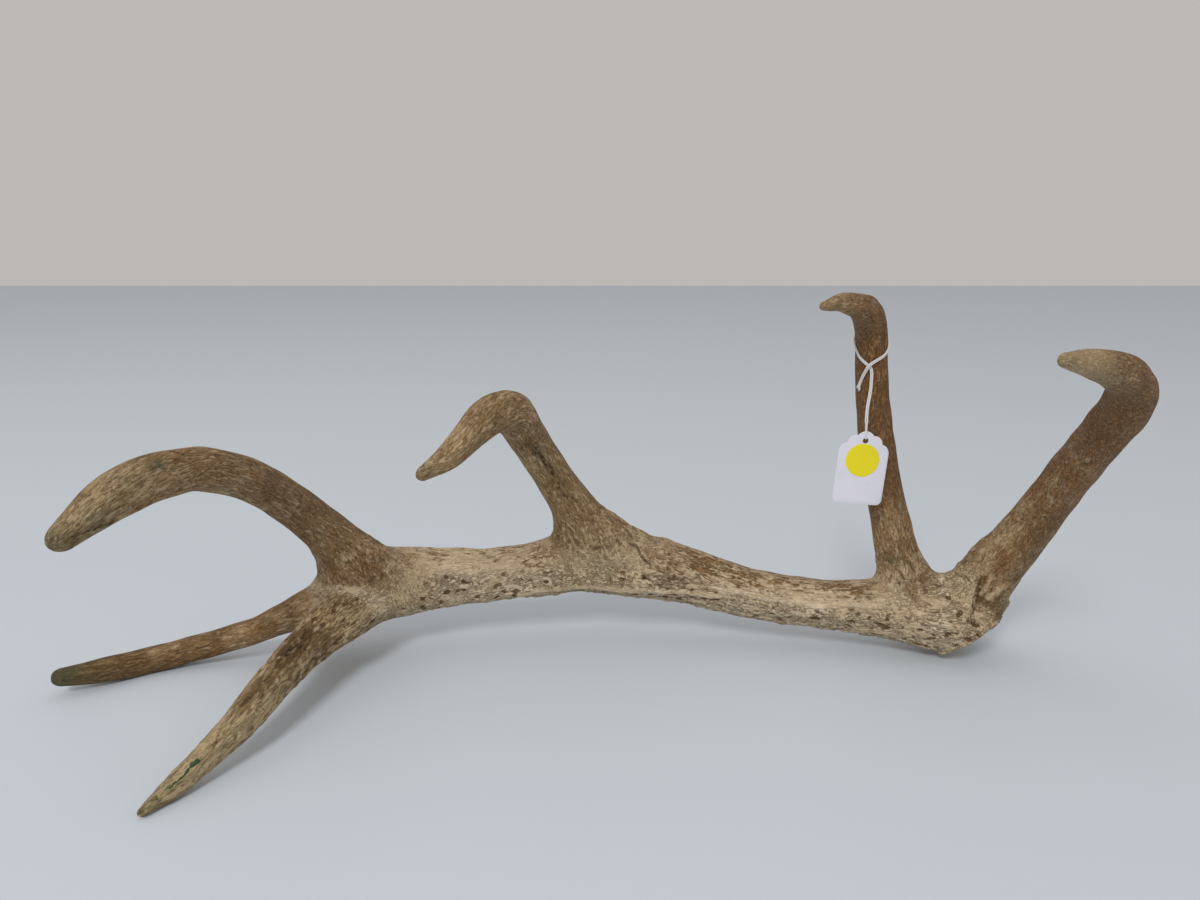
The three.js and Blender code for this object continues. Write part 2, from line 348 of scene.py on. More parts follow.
# Each branch's stations are [x, y, z, half width, half thickness] in millimetres from root to tip.
# The width is measured along wide. nose is how far the tip is drawn out, in half widths. web is
# how far from a fork its hollow is filled out. rubbed is how pale and smooth the tip is worn,
# curl how short its grain is.
# stain and warmth say how brown and how red the bone is, as (distance from the root, value) in mm.
# What a branch doesn't say is as in branchCommon.
branchCommon = {"wide": (1, 0, 0), "furrows": 4, "knobs": 0, "rubbed": 0, "curl": 1}
branches = {
    "beam": {
        "wide": (0, 0, 1),
        "nose": 0.6,
        "furrows": 5,
        "knobs": 0.06,
        "web": 40,
        "line": [
            [264, 61.5, -1, 25, 24.9], [250, 62.5, 16.5, 24.6, 24.4], [237, 63.5, 25.5, 25.1, 24.4],
            [220.5, 64.5, 28, 22.8, 22.3], [199.5, 68, 28.5, 19.1, 19.1], [169, 73, 28.4, 15.3, 15.9],
            [139, 77.5, 30, 15.1, 14.8], [107.5, 81.5, 35, 15.9, 15.4], [77, 85, 43, 17.3, 15.9],
            [45.5, 87, 47.6, 19, 16.4], [14, 88, 49.6, 18, 16.4], [-18, 87, 46.4, 16.6, 15.4],
            [-49.5, 83.5, 43.5, 17, 15.4], [-80, 78.5, 43.9, 19.1, 15.9], [-106.5, 72, 42.8, 21.6, 17],
            [-133.5, 64.5, 37, 20.1, 17],
        ],
        "stain": [
            (0, 0.12), (40, 0.12), (90, 0.2), (150, 0.2),
            (250, 0.18), (330, 0.06), (400, 0.06), (430, 0.12),
        ],
        "warmth": [(0, 0.25), (100, 0.28), (180, 0.32), (260, 0.2), (340, 0.35), (430, 0.25)],
    },
    "brow": {
        "nose": 1.4,
        "web": 5,
        "rubbed": 1,
        "curl": 2.1,
        "line": [
            [247, 63.5, 27.5, 19.6, 19.1], [248.5, 60.5, 42, 18, 17.5], [255, 54, 60, 15.8, 15.7],
            [266, 39, 90.5, 13.1, 13.4], [272.5, 19, 122.5, 11.9, 12.3], [274.5, -6.5, 152, 11.1, 11.5],
            [272.5, -27.5, 170.5, 11.2, 11.3], [264.5, -43.5, 183.5, 10.3, 10.2], [248, -58.5, 192, 8.7, 8.7],
            [227, -75.5, 197.5, 6.4, 6.4], [209.3, -89.8, 200.3, 3.5, 3.6],
        ],
        "stain": [
            (0, 0.2), (30, 0.38), (60, 0.6), (90, 0.74),
            (170, 0.95), (210, 0.95), (235, 0.7), (262, 0.35),
        ],
        "warmth": [(0, 0.4), (60, 0.75), (120, 0.9), (200, 0.7), (260, 0.3)],
    },
    "bez": {
        "nose": 1.9,
        "web": 4,
        "rubbed": 0.85,
        "curl": 1.6,
        "line": [
            [210.5, 69, 32, 21.2, 17], [207, 69, 46, 17.5, 14.8], [201.9, 68, 61.5, 12.8, 12.4],
            [194.9, 67, 85.5, 10.9, 11.4], [187.9, 64.5, 111, 10, 10.9], [180.2, 59.5, 142, 9.7, 10.5],
            [174, 52, 172, 9.2, 9.5], [170, 44.5, 195.5, 8.8, 9], [164, 34, 210, 8.8, 8.5],
            [155, 21, 215.5, 6.9, 6.9], [144, 9.5, 217.8, 4.9, 5], [132, -3, 217, 2.6, 2.8],
        ],
        "stain": [
            (0, 0.15), (28, 0.28), (45, 0.56), (70, 0.8), (110, 1.0),
            (170, 1.15), (200, 0.9), (225, 0.62), (250, 0.5),
        ],
        "warmth": [(0, 0.5), (60, 0.8), (170, 0.85), (250, 0.5)],
    },
    "trez": {
        "nose": 1.4,
        "web": 26,
        "rubbed": 0.35,
        "curl": 1.3,
        "line": [
            [23, 88, 49, 33, 14.8], [15.5, 83.5, 66, 24.2, 13.8], [5.3, 77.5, 88, 14.2, 12.7],
            [-7.6, 67, 112, 11.4, 11.7], [-19.6, 52, 136.5, 11.4, 11.1], [-27.5, 36, 154.5, 12.2, 11.7],
            [-36, 21, 159, 11.4, 10.6], [-46, 4, 152, 8.5, 8.5], [-57, -9.5, 141.5, 6.4, 6.4],
            [-67, -20, 136, 3.8, 3.8],
        ],
        "stain": [(0, 0.3), (40, 0.54), (70, 0.6), (100, 0.6), (140, 0.62), (170, 0.54), (200, 0.46)],
        "warmth": [(0, 0.3), (60, 0.25), (200, 0.3)],
    },
    "crownTop": {
        "nose": 1.35,
        "web": 18,
        "rubbed": 0.25,
        "curl": 1.3,
        "line": [
            [-122, 65.5, 38, 31.8, 18], [-126.5, 57, 60.5, 22.8, 15.9], [-138, 42.5, 85.5, 13.1, 12.8],
            [-150.5, 18, 111, 10.3, 11.3], [-160, -8.5, 130, 9.7, 10.6], [-171.5, -36, 141.8, 9.9, 10.7],
            [-183.5, -60.5, 143, 10.4, 11.1], [-193.7, -80.5, 137.5, 9.3, 9.7], [-203, -95.8, 128, 5.8, 6.2],
        ],
        "stain": [(0, 0.15), (30, 0.58), (60, 0.8), (110, 0.72), (160, 0.58), (200, 0.52), (225, 0.6)],
        "warmth": [(0, 0.3), (60, 0.3), (150, 0.45), (225, 0.1)],
    },
    "crownBack": {
        "wide": (0, 0, 1),
        "nose": 1.2,
        "furrows": 3,
        "web": 12,
        "line": [
            [-125, 64.5, 37, 20.1, 17], [-153.5, 58.5, 32.8, 12, 13.4], [-173, 54, 25.8, 8.9, 9.9],
            [-191.5, 53, 18.5, 7.8, 8.5], [-220.5, 50, 11, 7.6, 8.3], [-246, 39, 7.8, 7.6, 8],
            [-266, 22.5, 9, 6.9, 7.2], [-280.5, 10.5, 11, 5.1, 5.3],
        ],
        "stain": [(0, 0.2), (40, 0.7), (80, 0.72), (110, 0.82), (150, 1.0), (175, 1.1)],
        "warmth": [(0, 0.4), (60, 0.5), (110, 0.3), (175, 0.0)],
    },
    "crownFront": {
        "nose": 1.9,
        "web": 4,
        "rubbed": 0.4,
        "curl": 0.8,
        "line": [
            [-126, 65.5, 35.5, 21.8, 17.4], [-133.8, 38, 32.2, 15.6, 15], [-142.6, 14, 28.8, 12.2, 12.3],
            [-149, -19, 25, 9.9, 10.6], [-155.5, -50, 18.5, 8.3, 8.8], [-165, -72, 11.5, 6.4, 6.9],
            [-173.5, -87, 6, 5.2, 5.3], [-180, -99.6, 3.2, 2.7, 3],
        ],
        "stain": [(0, 0.1), (35, 0.2), (55, 0.42), (75, 0.48), (100, 0.26), (170, 0.2), (185, 0.3)],
        "warmth": [(0, 0.3), (70, 0.2), (185, 0.1)],
    },
}
branches = {name: {**branchCommon, **own} for name, own in branches.items()}

antlerSkin = {
    "voxel": 0.9,  # mm between two points of the fused skin
    "around": 64,
    "ringSpacing": 2.0,
    "noseRings": 8,
    "sawnPoint": (248.6, 62.5, 17.5),
    "sawnFacing": (0.62, -0.25, -0.74),
    "overallRounds": 4,  # rounds of smoothing everywhere
    "forkRounds": 40,  # and where two branches meet
    "guideRounds": 12,  # and before the way in which a fork is filled is read from it
    "forkBend": 1.4,  # how soon a bend between two branches counts in full
    "forkLimit": 3.0,  # how soon the smoothing of a fork is at its full weight
    "rootNose": 0.3,  # how far a branch reaches back past its first station, in half widths
    "floorGap": 0.1,
    "routeStep": 3.0,  # between two places of a route on the skin
    "tipFrom": 48,  # mm before a tine's end where it starts to be rubbed
    "tipTo": 5,
    "shareSoftness": 0.22,  # how widely the branches blend in the skin's form
    "markSoftness": 0.5,  # and in its marks
}
sawnFacing = unit(np.array(antlerSkin["sawnFacing"]))

# Where the skin is parted in three, in mm: a place on each cut and the way it faces.
partings = {
    "lowerToMiddle": ((159, 74, 29.5), (-1, 0.13, 0)),
    "middleToUpper": ((-24.5, 87, 46.5), (-1, 0, 0)),
}

# The pieces of the skin: the branches that belong to each, and the CAD nodes it stands for.
skinPieces = {
    "antler_lower": (("brow", "bez"), ("lower_beam", "brow_tine", "bez_tine")),
    "antler_middle": (("trez",), ("middle_beam", "trez_tine")),
    "antler_upper": (
        ("crownTop", "crownBack", "crownFront"),
        ("upper_beam", "crown_top_tine", "crown_back_tine", "crown_front_tine"),
    ),
}


def traceBranch(branch):
    # the middle line in even steps, with the way ahead, the way across it and its two half sizes
    line = np.array(branch["line"], float)
    t, along = evenSteps(line, 1.0)
    stations = throughPoints(line, t)
    middle = stations[:, :3]
    forward = unit(np.gradient(middle, axis=0))
    wide = np.array(branch["wide"], float)
    across = unit(wide - forward * (forward @ wide)[:, None])
    return {
        "middle": middle,
        "forward": forward,
        "across": across,
        "side": np.cross(forward, across),
        "size": stations[:, 3:],
        "along": along,
        "nose": branch["nose"],
    }


def relief(angle, along, branch):
    # ridges and furrows that wind slowly round a branch, low lumps between them, and knobs near
    # the burr, as a share of the branch's size
    furrows = branch["furrows"]
    ridges = 0.035 * np.cos(furrows * angle + 0.014 * along)
    seams = 0.02 * np.cos((furrows - 2) * angle - 0.03 * along + 1.1)
    lumps = 0.018 * np.sin(0.17 * along + 2 * angle) * np.cos(3 * angle - 0.09 * along)
    rim = branch["knobs"] * np.exp(-((along / 40) ** 2)) * np.cos(7 * angle + 0.6)
    return 1 + ridges + seams + lumps + rim


def beyondSawn(points):
    return (points - antlerSkin["sawnPoint"]) @ sawnFacing


def branchShell(branch, trace):
    # point(along, angle) = middle + across * cos(angle) * width * swell + side * sin(angle) *
    # thickness * swell, and over the tip the same ring shrinks by a cosine as it moves on by a sine
    count = max(4, round(trace["along"][-1] / antlerSkin["ringSpacing"]))
    picked = np.round(np.linspace(0, len(trace["along"]) - 1, count)).astype(int)
    rise = np.linspace(0, np.pi / 2, antlerSkin["noseRings"] + 1)[1:-1]
    rings = np.r_[np.zeros(len(rise), int), picked, np.full(len(rise), picked[-1])]
    shrink = np.r_[np.cos(rise[::-1]), np.ones(count), np.cos(rise)][:, None]
    nose = trace["nose"] * trace["size"][-1, 0]
    root = antlerSkin["rootNose"] * trace["size"][0, 0]
    ahead = np.r_[-root * np.sin(rise[::-1]), np.zeros(count), nose * np.sin(rise)]
    angle = np.linspace(0, 2 * np.pi, antlerSkin["around"], endpoint=False)[None, :]
    swell = shrink * relief(angle, trace["along"][rings][:, None], branch)
    width, thickness = (trace["size"][rings, i][:, None] for i in range(2))
    line = trace["middle"][rings] + trace["forward"][rings] * ahead[:, None]
    ends = trace["middle"][[0, -1]] + trace["forward"][[0, -1]] * np.array([[-root], [nose]])
    points, quads, fans = tubeSurface(
        line,
        trace["across"][rings][:, None, :] * (width * swell)[..., None],
        trace["side"][rings][:, None, :] * (thickness * swell)[..., None],
        ends,
    )
    # what lies past the sawn end is pressed onto it, back along the branch
    forward = np.repeat(trace["forward"][rings], antlerSkin["around"], axis=0)
    forward = np.vstack([forward, trace["forward"][[0, -1]]])
    beyond = np.maximum(beyondSawn(points), 0)
    slant = forward @ sawnFacing
    return points - forward * (beyond / slant)[:, None], quads, fans


def fuseShells(traces):
    # all branches in one mesh, then one skin of equal squares over them
    shells = [branchShell(branch, traces[name]) for name, branch in branches.items()]
    points, quads, fans = joinSurfaces(shells)
    rough = makeMesh("rough", points, [quads, fans])
    holder = makeObject("rough", rough)
    fuse = holder.modifiers.new("fuse", "REMESH")
    fuse.mode = "VOXEL"
    fuse.voxel_size = antlerSkin["voxel"] * mm
    evaluated = holder.evaluated_get(bpy.context.evaluated_depsgraph_get())
    fused = bpy.data.meshes.new_from_object(evaluated)
    skinPoints = np.empty(len(fused.vertices) * 3, np.float32)
    fused.vertices.foreach_get("co", skinPoints)
    skinFaces = np.empty(len(fused.loops), np.int32)
    fused.loops.foreach_get("vertex_index", skinFaces)
    bpy.data.objects.remove(holder)
    bpy.data.meshes.remove(fused)
    return skinPoints.reshape(-1, 3).astype(float) / mm, skinFaces.reshape(-1, 4)


def placeOnBranches(points, traces):
    # for each branch, where every point lies from its middle line: across, beside and along it,
    # reach, which is 1 on the branch's own surface and more outside it, the gap to that surface
    # in mm, and the way out from the middle line
    places = {}
    for name, trace in traces.items():
        nearest = np.empty(len(points), int)
        middleSquare = (trace["middle"] ** 2).sum(1)
        for first in range(0, len(points), 20000):
            block = points[first:first + 20000]
            nearest[first:first + 20000] = (middleSquare - 2 * block @ trace["middle"].T).argmin(1)
        away = points - trace["middle"][nearest]
        frame = [trace[axis][nearest] for axis in ("across", "side", "forward")]
        across, beside, ahead = ((away * axis).sum(1) for axis in frame)
        width, thickness = trace["size"][nearest].T
        behind = (nearest == 0) & (ahead < 0)
        nose = np.where(behind, antlerSkin["rootNose"], trace["nose"]) * width
        over = ahead / nose
        reach = np.sqrt((across / width) ** 2 + (beside / thickness) ** 2 + over**2)
        slopes = (across / width**2, beside / thickness**2, over / nose)
        out = sum(axis * slope[:, None] for axis, slope in zip(frame, slopes))
        steepness = np.linalg.norm(out, axis=1) + 1e-9
        places[name] = {
            "across": across,
            "beside": beside,
            "along": trace["along"][nearest] + ahead,
            "level": across / width,
            "reach": reach,
            "gap": (reach - 1) * reach / steepness,
            "out": out / steepness[:, None],
        }
    return places


def shareBranches(places, softness):
    # how much of each branch a point belongs to; the shares add up to 1
    reaches = np.stack([place["reach"] for place in places.values()])
    weights = np.exp(-(((reaches - reaches.min(0)) / softness) ** 2))
    weights /= weights.sum(0)
    return dict(zip(places, weights))


def edgesOf(faces):
    both = np.stack([faces.ravel(), np.roll(faces, -1, axis=1).ravel()], 1)
    both.sort(axis=1)
    return np.unique(both, axis=0)


def settle(points, edges, rounds, weight):
    # each point moves towards the mean of its neighbours, as far as its weight says
    count = np.bincount(edges.ravel(), minlength=len(points))
    here, there = edges.T
    for _ in range(rounds):
        mean = np.stack([
            np.bincount(here, points[there, axis], len(points))
            + np.bincount(there, points[here, axis], len(points))
            for axis in range(3)
        ], 1) / count[:, None]
        points = points + weight[:, None] * (mean - points)
    return points


def normalsOf(points, faces):
    # each face's area vector, from its diagonals, added up at its corners
    a, b, c, d = (points[faces[:, i]] for i in range(4))
    area = np.cross(c - a, d - b)
    total = np.stack([
        sum(np.bincount(faces[:, i], area[:, axis], len(points)) for i in range(4))
        for axis in range(3)
    ], 1)
    return unit(total)


def fillForks(points, faces, edges, places):
    # where the two nearest branches' surfaces meet at an angle, the hollow is filled out by a
    # quarter of the web at the crease and less away from it, as a smooth union does
    gaps = np.stack([place["gap"] for place in places.values()])
    outs = np.stack([place["out"] for place in places.values()])
    order = np.argsort(gaps, axis=0)
    each = np.arange(len(points))
    spread = gaps[order[1], each] - gaps[order[0], each]
    bend = 1 - (outs[order[0], each] * outs[order[1], each]).sum(1)
    webs = np.array([branches[name]["web"] for name in places], float)
    web = np.minimum(webs[order[0]], webs[order[1]])
    fork = np.clip(1 - spread / web, 0, 1) ** 2 * np.clip(bend * antlerSkin["forkBend"], 0, 1)
    fork *= smoothStep(0.0, 4.0, -beyondSawn(points))
    guide = settle(points, edges, antlerSkin["guideRounds"], np.full(len(points), 0.6))
    filled = points + normalsOf(guide, faces) * (web / 4 * fork)[:, None]
    softening = 0.6 * np.clip(fork * antlerSkin["forkLimit"], 0, 1) * np.clip(web / 15, 0.3, 1)
    return settle(filled, edges, antlerSkin["forkRounds"], softening)


def grainNoise(places, shares, acrossScale, alongScale, shift=0.0):
    # noise drawn out along each branch's own grain, blended where branches meet
    total = np.zeros(len(next(iter(shares.values()))))
    for index, name in enumerate(places):
        touched = shares[name] > 0.01
        place = places[name]
        grain = np.stack([
            place["across"][touched] / acrossScale + 31.7 * index + shift,
            place["beside"][touched] / acrossScale - 17.3 * index,
            place["along"][touched] / alongScale + 5.1 * index,
        ], 1)
        total[touched] += shares[name][touched] * noise(grain)
    return total


def profileAlong(places, shares, key):
    # a value given along each branch, blended where branches meet
    total = np.zeros(len(next(iter(shares.values()))))
    for name, place in places.items():
        stops = np.array(branches[name][key])
        total += shares[name] * np.interp(place["along"], stops[:, 0], stops[:, 1])
    return total


def ontoSkin(route, points):
    # a line through a few places in short steps, each moved to the nearest point of the skin
    route = np.atleast_2d(np.array(route, float))
    steps = [route[:1]]
    for start, end in zip(route[:-1], route[1:]):
        count = math.ceil(np.linalg.norm(end - start) / antlerSkin["routeStep"])
        steps.append(start + (end - start) * np.arange(1, count + 1)[:, None] / count)
    away = (points**2).sum(1)[:, None] - 2 * points @ np.vstack(steps).T
    return points[away.argmin(0)]


def awayFrom(route, skin, points):
    # how far each of the points is from a route that is drawn on the skin
    route = ontoSkin(route, skin)
    nearest = np.linalg.norm(points - route[0], axis=1)
    for start, end in zip(route[:-1], route[1:]):
        way = end - start
        share = np.clip((points - start) @ way / (way @ way), 0, 1)[:, None]
        nearest = np.minimum(nearest, np.linalg.norm(points - start - share * way, axis=1))
    return nearest


def rimGap(marks, skin, points, widthShare=1.0):
    # how far each point is from the rim of the nearest mark, up to 9 mm
    gap = np.full(len(points), 9.0)
    for route, halfWidth, *depth in marks.values():
        gap = np.minimum(gap, awayFrom(route, skin, points) - widthShare * halfWidth)
    return gap


def jittered(points, reach, size, shift):
    # the points moved about by noise, which makes a mark's outline wander
    return points + reach * np.stack([noise(points / size + shift + 20 * axis) for axis in range(3)], 1)


# Marks on the skin, in mm: the places each runs through, its half width and its depth.
cracks = {
    "besideBrow": ([[233, 57, 55], [236.7, 50, 54.6], [239, 47.6, 51.7]], 0.5, 0.5),
    "burrGroove": ([[243, 44, 51], [241.5, 44.9, 44.6], [239.8, 43.5, 38], [238.8, 40.6, 33.3]], 0.8, 1.5),
    "burrSplit": ([[238.8, 40.6, 33.3], [240.1, 38.9, 27.1], [243, 38.6, 22]], 0.5, 1.0),
    "besideTrez": (
        [[38, 73.3, 68.5], [43, 73.7, 65.8], [46, 73.5, 59.4], [49, 73.2, 56.2], [52.2, 72.4, 53.3]],
        0.7, 0.7,
    ),
    "belowTrez": ([[47.3, 71.1, 47.2], [49, 71, 46], [52.2, 70.6, 44.8]], 0.9, 0.5),
    "onBeam": ([[-16.3, 72.6, 50.6], [-12, 72.3, 49.4], [-8.9, 72.7, 51.2]], 0.5, 0.4),
    "upTrez": (
        [[-16.4, 40.9, 134.7], [-12.3, 46, 128.3], [-9.2, 50.1, 122.1], [-6, 53.5, 116.5]], 0.9, 0.9,
    ),
    "trezSplit": (
        [[-3.3, 57.2, 107.7], [-0.5, 59.3, 103.5], [2.9, 61.5, 99.8], [5.8, 63.2, 96.2]], 0.6, 0.8,
    ),
    "crownTop": ([[-178.1, -52.5, 153.9], [-174.3, -51.9, 153.3], [-171.2, -50.1, 151.5]], 0.5, 0.3),
    "crownFold": ([[-184, -84, 130], [-192.8, -92, 128.8], [-199.2, -100.8, 127.3]], 0.4, 0.4),
    "crownFront": ([[-142.2, -4, 38.5], [-144, -11, 37.5], [-144.8, -15, 36.5]], 1.3, 0.5),
}

# Smooth cords of bone that stand out a little: the line, half width, height.
ridges = {
    "underTrez": (
        [
            [-30, 74.5, 35], [-7.2, 73.2, 38.6], [20, 73.3, 39.2], [45, 71.2, 39.4],
            [69.6, 70.2, 37.8], [94, 67.6, 36.2],
        ],
        2.2, 0.9,
    ),
    "alongBeam": (
        [
            [94, 67.6, 40], [106.1, 66.7, 38.5], [130.3, 63.8, 35], [142.2, 62.4, 33.4],
            [154, 60.3, 33], [170, 58, 34.5],
        ],
        1.9, 1.1,
    ),
    "browRoot": ([[247.5, 42.5, 58.5], [246, 42.6, 52], [243.5, 43.3, 47]], 2.0, 1.2),
    "burrKnuckle": ([[254, 39.5, 52], [251.5, 40, 50], [247.5, 41.5, 45.5]], 2.4, 1.0),
}

# Low lumps: place, radius, height.
lumps = {
    "burrLobe": ([253, 41, 36], 9.0, 1.8),
    "burrStep": ([236, 58, 58], 4.5, 2.0),
    "browHump": ([238.5, 57, 70], 6.0, 1.5),
    "browHeel": ([242, 57, 80], 4.0, 0.8),
}

# Where the bone is browner (or, below zero, paler) than its branch: the line, half width, how much, and how
# much redder. A few of them are painted shade or painted highlight, as noted at each.
patches = {
    "overBeam": (
        [[75.8, 76, 58], [106.5, 74, 50], [137.3, 71, 45], [166.9, 66, 42.5], [180, 60, 40]], 8.0, 0.06, 0.05,
    ),
    "besideTrez": ([[52, 74, 58], [66, 74, 54], [85, 73, 52]], 6.0, 0.2, 0.15),
    "trezLeft": ([[-27, 73, 54], [-17, 73, 54]], 6.0, 0.35, 0.5),
    "crownRoot": ([[-118, 48, 62], [-131, 45, 58]], 11.0, 0.1, 0.5),
    "crownPale": ([[-96, 58, 38], [-112, 50, 36], [-124, 36, 31]], 9.0, -0.2, -0.2),
    "crownCrotch": ([[-128, 38, 52], [-136, 34, 44]], 5.0, 0.15, -0.3),
    "bezRoot": ([[213, 56, 54], [207.5, 55, 49], [205, 54, 41]], 5.5, 0.28, 0.1),
    "bezRootPale": ([[198, 55, 47], [200, 54, 40], [191, 53, 37]], 5.0, -0.5, -0.4),
    "burrPale": ([[228, 51, 46], [233, 50, 50], [237, 48, 47]], 8.0, -0.45, -0.5),
    "burrFace": ([[212, 46, 28], [224, 43, 24], [233, 41, 28]], 9.0, -0.1, 0.1),
    "browFoot": ([[240, 47, 62], [245, 43, 64]], 5.0, -0.55, -0.2),
    "browSpecks": ([[243, 44, 74], [250, 36, 82], [252, 33, 88]], 6.0, -0.35, 0.0),
    "browRed": ([[249, 38, 76], [251.5, 37, 68], [249, 40, 63]], 3.6, 0.4, 0.6),
    # greyer and darker down the right side of the brow tine: partly its own tone, partly painted shade on the
    # side away from the key lamp
    "browGreyAndShade": ([[261, 38, 60], [264, 32, 80], [268, 22, 98]], 7.0, 0.3, -0.6),
    # paler and warmer along the left edge of the brow tine: partly its own warmer tone, partly painted
    # highlight on the side towards the key lamp
    "browEdgeWarmAndLit": ([[249, 29, 103], [254, 12, 122], [256, -4, 138]], 3.0, -0.25, 0.1),
    "grooveLeft": ([[245, 43, 56], [242.6, 44.5, 47]], 3.4, 0.65, 0.1),
    "grooveDown": ([[242.6, 44.3, 43], [240, 43.5, 38]], 4.0, 0.6, -0.2),
    "lobeShade": ([[250, 42.5, 44], [256, 46, 36], [254, 45, 30]], 6.0, 0.4, -0.3),
    "beamPale": ([[-60, 68, 38], [-20, 72, 42], [20, 72, 46]], 7.0, -0.25, -0.3),
    "beamMottle": ([[60, 73, 48], [88, 70, 44], [118, 66, 39]], 7.0, 0.22, 0.1),
    "lowBeamBrown": ([[85, 68, 33], [125, 64, 27], [165, 58, 20]], 5.0, 0.16, 0.1),
    "lowBeamPale": ([[100, 66, 33], [140, 62, 27], [180, 53, 26]], 8.0, -0.3, -0.1),
    "crownDark": ([[-143, -4, 38], [-145.5, -14, 36]], 5.0, 0.6, -0.3),
    "crownBand": (
        [[-142, 6, 39], [-145.5, -22.7, 34.8], [-149.5, -40.3, 30.5], [-154, -51.5, 27]], 5.0, 0.6, -0.2,
    ),
    "crownStripe": ([[-144, -40, 26], [-150, -57, 22], [-157, -70, 17], [-168, -86, 9]], 4.5, -0.45, -0.2),
    # paler, warmer bands along the back crown tine: painted highlight
    "backPaintedHighlight": ([[-232, 41, 17], [-243, 35, 15]], 3.0, -0.45, 0.5),
    "backPaintedHighlightNear": ([[-186, 46, 26], [-192, 45, 24]], 4.0, -0.35, 0.4),
    # browner along the underside of the back crown tine, where it lies just above the table: painted shade
    "backUnderShade": ([[-205, 47, 3], [-235, 40, 1]], 5.0, 0.5, 0.2),
    "bezScratch": ([[186, 53, 134], [189.5, 53.3, 133.4]], 0.5, -1.2, 0.0),
    "trezSoot": ([[-19, 38, 139], [-12, 46, 128], [-4, 56, 110]], 3.0, 0.35, -0.4),
}

# Green paint rubbed into the bone: the line of each mark and its half width.
paintMarks = {
    "frontBlob": ([[-165.2, -80.4, 14.6], [-166.4, -82.4, 13.5]], 1.1),
    "frontStreak": ([[-167.4, -84.4, 12.4], [-169.2, -88, 10.6], [-171.4, -90.6, 9.4]], 0.55),
    "frontTail": ([[-172, -91.7, 9.0], [-174, -94, 8.3]], 0.3),
    "frontSpeck": ([[-175.8, -97.5, 7.4], [-177.4, -98.8, 6.6]], 0.5),
}

# Dull green stains: place, radius, strength.
greenStains = {
    "topPatch": ([-177, -64, 150.5], 4.0, 0.9),
    "topTrail": ([-184, -77.5, 147], 7.0, 0.35),
    "topTip": ([-204.5, -103.5, 129], 8.0, 0.6),
    "topUnder": ([-193, -90, 133], 8.0, 0.4),
    "backTip": ([-284, 4, 12], 16.0, 0.9),
    "trezTip": ([-66, -22, 138], 4.5, 0.5),
    "frontTip": ([-180, -101, 5], 12.0, 0.35),
    "beamSpot": ([-50, 77, 58], 2.0, 0.8),
    "bezHollow": ([193, 56, 62], 4.0, 0.6),
    "bezFoot": ([182, 57, 42], 3.0, 0.5),
    "browTip": ([210, -95, 200], 3.0, 0.4),
}

# The noise in the skin, in mm: its height, its size across and along the grain, and a shift that
# keeps it apart from the others. Lumps have one size, because they follow no grain.
carving = {
    "furrows": (0.65, 4.2, 50, 0.0),
    "fineFurrows": (0.16, 2.1, 16, 40.0),
    "lumps": (0.45, 14),
    "pits": (0.75, 3.1, 5.2, 80.0),
    "pearls": (0.6, 3.3, 5.0, 120.0),
}

# Where the bone is pitted and pearled.
pearling = {
    "burr": (55, 95),  # mm along the beam: all round it up to the first, none from the second on
    "roots": (25, 60),  # the same along the tines
    "rootShare": 0.7,
    "crownFront": (60, 150),  # mm along that tine, where it falls to a half
    "wander": 11,  # mm, size of the noise in its edge
}


def pearledShare(places, shares):
    # where the beam is pitted and pearled: its front and underside, and all round near the burr
    beamPlace = places["beam"]
    grain = np.stack([beamPlace["across"], beamPlace["beside"], beamPlace["along"] * 0.5], 1)
    wander = noise(grain / pearling["wander"])
    low = 1 - smoothStep(0.05, 0.6, beamPlace["level"] + 0.4 * wander)
    burr = 1 - smoothStep(*pearling["burr"], beamPlace["along"])
    onBeam = shares["beam"] * np.maximum(low, burr)
    roots = sum(
        shares[name] * (1 - smoothStep(*pearling["roots"], places[name]["along"]))
        for name in ("brow", "bez", "trez", "crownTop")
    )
    worn = smoothStep(*pearling["crownFront"], places["crownFront"]["along"])
    front = shares["crownFront"] * (1 - 0.5 * worn)
    return np.clip(onBeam + pearling["rootShare"] * roots + front, 0, 1)


def tipShare(places, shares):
    # 1 on the last stretch of each tine, rubbed smooth and pale
    total = np.zeros(len(shares["beam"]))
    for name, place in places.items():
        if name != "beam":
            end = branches[name]["stain"][-1][0]
            last = smoothStep(end - antlerSkin["tipFrom"], end - antlerSkin["tipTo"], place["along"])
            total += branches[name]["rubbed"] * shares[name] * last
    return total


def carveSkin(points, faces, places, shares, pearled, tip):
    # the skin moves out or in along its normals by the sum of its furrows, pits, ridges and cracks
    normals = normalsOf(points, faces)
    sawn = smoothStep(-2.2, -0.6, beyondSawn(points)) * smoothStep(0.5, 0.9, normals @ sawnFacing)
    noises = {}
    for name in ("furrows", "fineFurrows", "pits", "pearls"):
        noises[name] = grainNoise(places, shares, *carving[name][1:])
    noises["lumps"] = noise(points / carving["lumps"][1])
    pits = smoothStep(0.1, 0.4, noises["pits"]) * pearled
    pearls = smoothStep(0.1, 0.45, noises["pearls"]) * pearled
    low = sum(carving[name][0] * noises[name] for name in ("furrows", "fineFurrows", "lumps"))
    height = low * (1 - 0.8 * tip) + carving["pearls"][0] * pearls - carving["pits"][0] * pits
    for route, halfWidth, depth in cracks.values():
        away = awayFrom(route, points, points)
        height -= depth * (1 - smoothStep(0.3 * halfWidth, 1.2 * halfWidth + 0.7, away))
    for route, halfWidth, rise in ridges.values():
        away = awayFrom(route, points, points)
        height += rise * (1 - smoothStep(0.2 * halfWidth, 1.5 * halfWidth, away))
    for place, radius, rise in lumps.values():
        height += rise * np.exp(-((awayFrom(place, points, points) / radius) ** 2))
    carved = points + normals * (height * (1 - sawn))[:, None]
    beyond = np.maximum(beyondSawn(carved) + 0.05, 0)
    carved -= sawnFacing * beyond[:, None]
    carved[:, 2] = np.maximum(carved[:, 2], antlerSkin["floorGap"])
    return carved, sawn, pearls - pits


